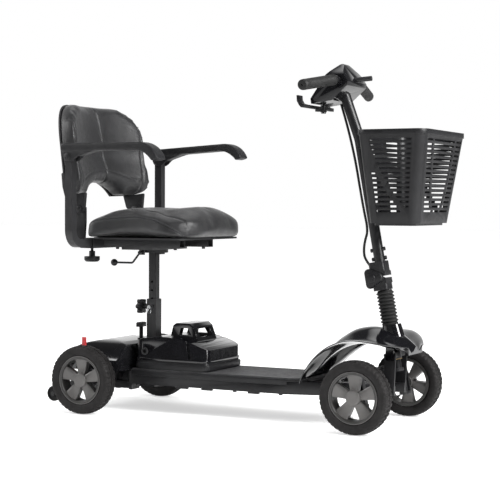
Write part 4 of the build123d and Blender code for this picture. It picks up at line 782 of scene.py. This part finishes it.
def make_armrest(word):
    """Moulded pad with a soft radius all round."""
    node = word + "_armrest"
    obj = node_copy(word + ".arm_pad", node)
    obj.data.materials.clear()
    obj.data.materials.append(arm_skin)
    voxels(obj, 0.0032, 9)
    d = obj.modifiers.new("finer", "SUBSURF")
    d.levels = d.render_levels = 1
    settle(obj)
    shade_smooth(obj)
    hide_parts(node)
    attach(obj, body_of[node])


make_seat_cushion()
make_backrest_cushion()
make_armrest("left")
make_armrest("right")


# ---------------------------------------------------------------- moulded covers with eased edges
for name, width in (("battery_lid", 0.0045), ("battery_case", 0.002), ("console_shell", 0.003),
                    ("rear_cover", 0.003),
                    ("t_handle", 0.0015), ("width_knob", 0.0012), ("star_knob", 0.0012), ("deck_pan", 0.001),
                    ("deck_frame", 0.0012), ("seat_underframe", 0.0012), ("basket", 0.0006),
                    ("throttle_lever", 0.001), ("back_brackets", 0.002), ("fold_knob", 0.001)):
    eased(name, width, 3 if width > 0.002 else 2)


# ---------------------------------------------------------------- grips, gaiter and lead
def make_grips():
    low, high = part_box("grips")
    mesh = nodes["grips"].data
    co = np.array([v.co for v in mesh.vertices])
    pieces = []
    for side, word in ((1, "left"), (-1, "right")):
        own = co[co[:, 1] * side > 0]
        order = own[:, 1] * side
        inner = own[order < order.min() + 0.012].mean(axis=0)
        outer = own[order > order.max() - 0.012].mean(axis=0)
        axis = Vector(outer - inner)
        length = axis.length + 0.008
        axis.normalize()
        centre = Vector(inner) - axis * 0.004
        profile = [(0.0, 0.0105), (0.0, 0.0150), (0.0015, 0.0168), (0.0045, 0.0168), (0.0060, 0.0150)]
        count = 17
        for k in range(count):
            a = 0.009 + (length - 0.030) * k / count
            step = (length - 0.030) / count
            profile += [(a, 0.0143), (a + step * 0.2, 0.0152), (a + step * 0.75, 0.0152), (a + step * 0.95,
                                                                                           0.0143)]
        profile += [(length - 0.020, 0.0150), (length - 0.010, 0.0153), (length - 0.004, 0.0148),
                    (length - 0.0008, 0.0125), (length, 0.0090), (length - 0.0002, 0.0030), (length - 0.003,
                                                                                             0.0026),
                    (length - 0.003, 0.0001)]
        grip = revolved(word + ".grip", profile, 64, centre, axis, soft_rubber, closed=False)
        smooth_by_angle(grip, 30)
        pieces.append(grip)
    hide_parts("grips")
    for o in pieces:
        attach(o, body_of["grips"])


rake = math.radians(10.5)
stem_up = Vector((-math.sin(rake), 0, math.cos(rake)))
stem_out = Vector((math.cos(rake), 0, math.sin(rake)))
stem_base = place(896.7, 0, 114.7)


def make_bellows():
    mesh = nodes["stem_bellows"].data
    co = np.array([v.co for v in mesh.vertices])
    axis, base = stem_up, stem_base
    along = (co - np.array(base)) @ np.array(axis)
    low, high = along.min(), along.max()
    radius = np.linalg.norm(co - np.array(base) - np.outer(along, axis), axis=1)
    profile = [(low, 0.0128), (low, 0.0215), (low + 0.002, 0.0225), (low + 0.005, 0.0225)]
    ribs = 9
    pitch = (high - low - 0.010) / ribs
    for k in range(ribs):
        a = low + 0.006 + pitch * k
        for t, r in ((0.0, 0.0200), (0.18, 0.0215), (0.36, 0.0242), (0.50, 0.0250), (0.64, 0.0244), (0.82,
                                                                                                     0.0220)):
            profile.append((a + pitch * t, r))
    profile += [(high - 0.003, 0.0205), (high - 0.001, 0.0195), (high, 0.0185), (high, 0.0128)]
    top = radius.max()
    obj = revolved("stem.bellows", [(a, min(r, top)) for a, r in profile], 96, base, axis, soft_rubber)
    smooth_by_angle(obj, 60)
    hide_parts("stem_bellows")
    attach(obj, "steering")


def stem_place(out, across, along):
    """A point by its place along the steering column, in millimetres."""
    return stem_base + (stem_out * out + Vector((0, across, 0)) + stem_up * along) / 1000


def make_lead():
    beside = -23.0
    route = [place(714, 0, 893), stem_place(beside, 0, 690), stem_place(beside, 0, 500), place(798, 0, 541),
             place(788, 0, 510), place(785, 0, 481), place(790, 0, 458), stem_place(-28, 0, 334)]
    lead = tube("control.lead", route, 0.0035, soft_rubber)
    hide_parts("tiller_cable")
    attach(lead, "tiller")
    return lead, route[0]


make_grips()
make_bellows()
lead, lead_exit = make_lead()


# ---------------------------------------------------------------- stage, light and camera
def make_stage():
    bpy.ops.mesh.primitive_plane_add(size=60, location=(0, 0, 0))
    floor = bpy.context.object
    floor.name = "floor"
    m, tree, shade, where = shader_nodes("pale_floor")
    tone = two_tone(tree, noise_node(tree, where, 3.0, 2.0), (0.80, 0.80, 0.80), (0.84, 0.84, 0.84))
    tree.links.new(tone, shade.inputs["Base Color"])
    shade.inputs["Roughness"].default_value = 0.75
    shade.inputs["Specular IOR Level"].default_value = 0.2
    shown = tree.nodes.new("ShaderNodeEmission")
    shown.inputs["Color"].default_value = (1, 1, 1, 1)
    path = tree.nodes.new("ShaderNodeLightPath")
    either = tree.nodes.new("ShaderNodeMath")
    either.operation = "MAXIMUM"
    tree.links.new(path.outputs["Is Camera Ray"], either.inputs[0])
    tree.links.new(path.outputs["Is Transmission Ray"], either.inputs[1])
    tree.links.new(spread(tree, either.outputs[0], 0.0, 0.53, 0.0, 1.0), shown.inputs["Strength"])
    both = tree.nodes.new("ShaderNodeAddShader")
    tree.links.new(shade.outputs[0], both.inputs[0])
    tree.links.new(shown.outputs[0], both.inputs[1])
    out = next(n for n in tree.nodes if n.type == "OUTPUT_MATERIAL")
    tree.links.new(both.outputs[0], out.inputs[0])
    floor.data.materials.append(m)
    floor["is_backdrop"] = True


def make_world():
    world = bpy.data.worlds.new("studio")
    bpy.context.scene.world = world
    world.use_nodes = True
    tree = world.node_tree
    tree.nodes.clear()
    out = tree.nodes.new("ShaderNodeOutputWorld")
    room = tree.nodes.new("ShaderNodeBackground")
    room.inputs["Color"].default_value = (1, 1, 1, 1)
    room.inputs["Strength"].default_value = 0.6
    seen = tree.nodes.new("ShaderNodeBackground")
    seen.inputs["Color"].default_value = (1, 1, 1, 1)
    seen.inputs["Strength"].default_value = 1.0
    glossy = tree.nodes.new("ShaderNodeBackground")
    glossy.inputs["Color"].default_value = (1, 1, 1, 1)
    where = tree.nodes.new("ShaderNodeTexCoord")
    level = None
    for aim, start, full, strength in (((-0.45, 0.89, 0.0), 0.74, 0.96, 0.9), ((-0.10, 0.55, 0.83), 0.93,
                                                                               0.98, 1.3),
                                       ((-0.93, 0.10, 0.35), 0.86, 0.96, 0.9)):
        toward = tree.nodes.new("ShaderNodeVectorMath")
        toward.operation = "DOT_PRODUCT"
        toward.inputs[1].default_value = aim
        tree.links.new(where.outputs["Generated"], toward.inputs[0])
        part = spread(tree, toward.outputs["Value"], 0.0, strength, start, full)
        if level is None:
            level = part
        else:
            total = tree.nodes.new("ShaderNodeMath")
            total.operation = "ADD"
            tree.links.new(level, total.inputs[0])
            tree.links.new(part, total.inputs[1])
            level = total.outputs[0]
    dim = tree.nodes.new("ShaderNodeMath")
    dim.operation = "ADD"
    dim.inputs[1].default_value = 0.07
    tree.links.new(level, dim.inputs[0])
    tree.links.new(dim.outputs[0], glossy.inputs["Strength"])
    path = tree.nodes.new("ShaderNodeLightPath")
    first = tree.nodes.new("ShaderNodeMixShader")
    tree.links.new(path.outputs["Is Glossy Ray"], first.inputs[0])
    tree.links.new(room.outputs[0], first.inputs[1])
    tree.links.new(glossy.outputs[0], first.inputs[2])
    either = tree.nodes.new("ShaderNodeMath")
    either.operation = "MAXIMUM"
    tree.links.new(path.outputs["Is Camera Ray"], either.inputs[0])
    tree.links.new(path.outputs["Is Transmission Ray"], either.inputs[1])
    mix = tree.nodes.new("ShaderNodeMixShader")
    tree.links.new(either.outputs[0], mix.inputs[0])
    tree.links.new(first.outputs[0], mix.inputs[1])
    tree.links.new(seen.outputs[0], mix.inputs[2])
    tree.links.new(mix.outputs[0], out.inputs[0])


def area_light(name, at, aim, size, power):
    data = bpy.data.lights.new(name, "AREA")
    data.shape = "RECTANGLE"
    data.size, data.size_y = size
    data.energy = power
    obj = bpy.data.objects.new(name, data)
    bpy.context.scene.collection.objects.link(obj)
    obj.location = at
    obj.rotation_mode = "QUATERNION"
    obj.rotation_quaternion = (Vector(aim) - Vector(at)).to_track_quat("-Z", "Y")
    return obj


camera_from_axle = Vector((2.3066, -3.6848, 0.6094))
camera_lens = 102.64
yaw, pitch, roll = math.radians(27.0), -0.0315, 0.0045


def make_camera():
    data = bpy.data.cameras.new("camera")
    data.lens = camera_lens
    data.sensor_width = 36
    camera = bpy.data.objects.new("camera", data)
    bpy.context.scene.collection.objects.link(camera)
    bpy.context.scene.camera = camera
    look = Vector((-math.sin(yaw) * math.cos(pitch), math.cos(yaw) * math.cos(pitch), math.sin(pitch)))
    camera.rotation_mode = "QUATERNION"
    camera.rotation_quaternion = look.to_track_quat("-Z", "Y") @ Matrix.Rotation(roll, 3, "Z").to_quaternion()
    camera.location = place(0, 0, 0) + camera_from_axle
    data.clip_end = 100


make_stage()
make_world()
overhead = area_light("overhead", (0.2, -0.4, 3.2), (0, 0, 0.3), (3.6, 2.6), 60)
overhead.visible_glossy = False
area_light("key", (3.2, -0.5, 2.1), (0, 0, 0.5), (1.6, 1.6), 200)
area_light("left", (-2.8, -1.6, 2.0), (0, 0, 0.5), (1.4, 2.0), 50)
make_camera()
bpy.context.scene.view_settings.view_transform = "Standard"

low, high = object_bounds()
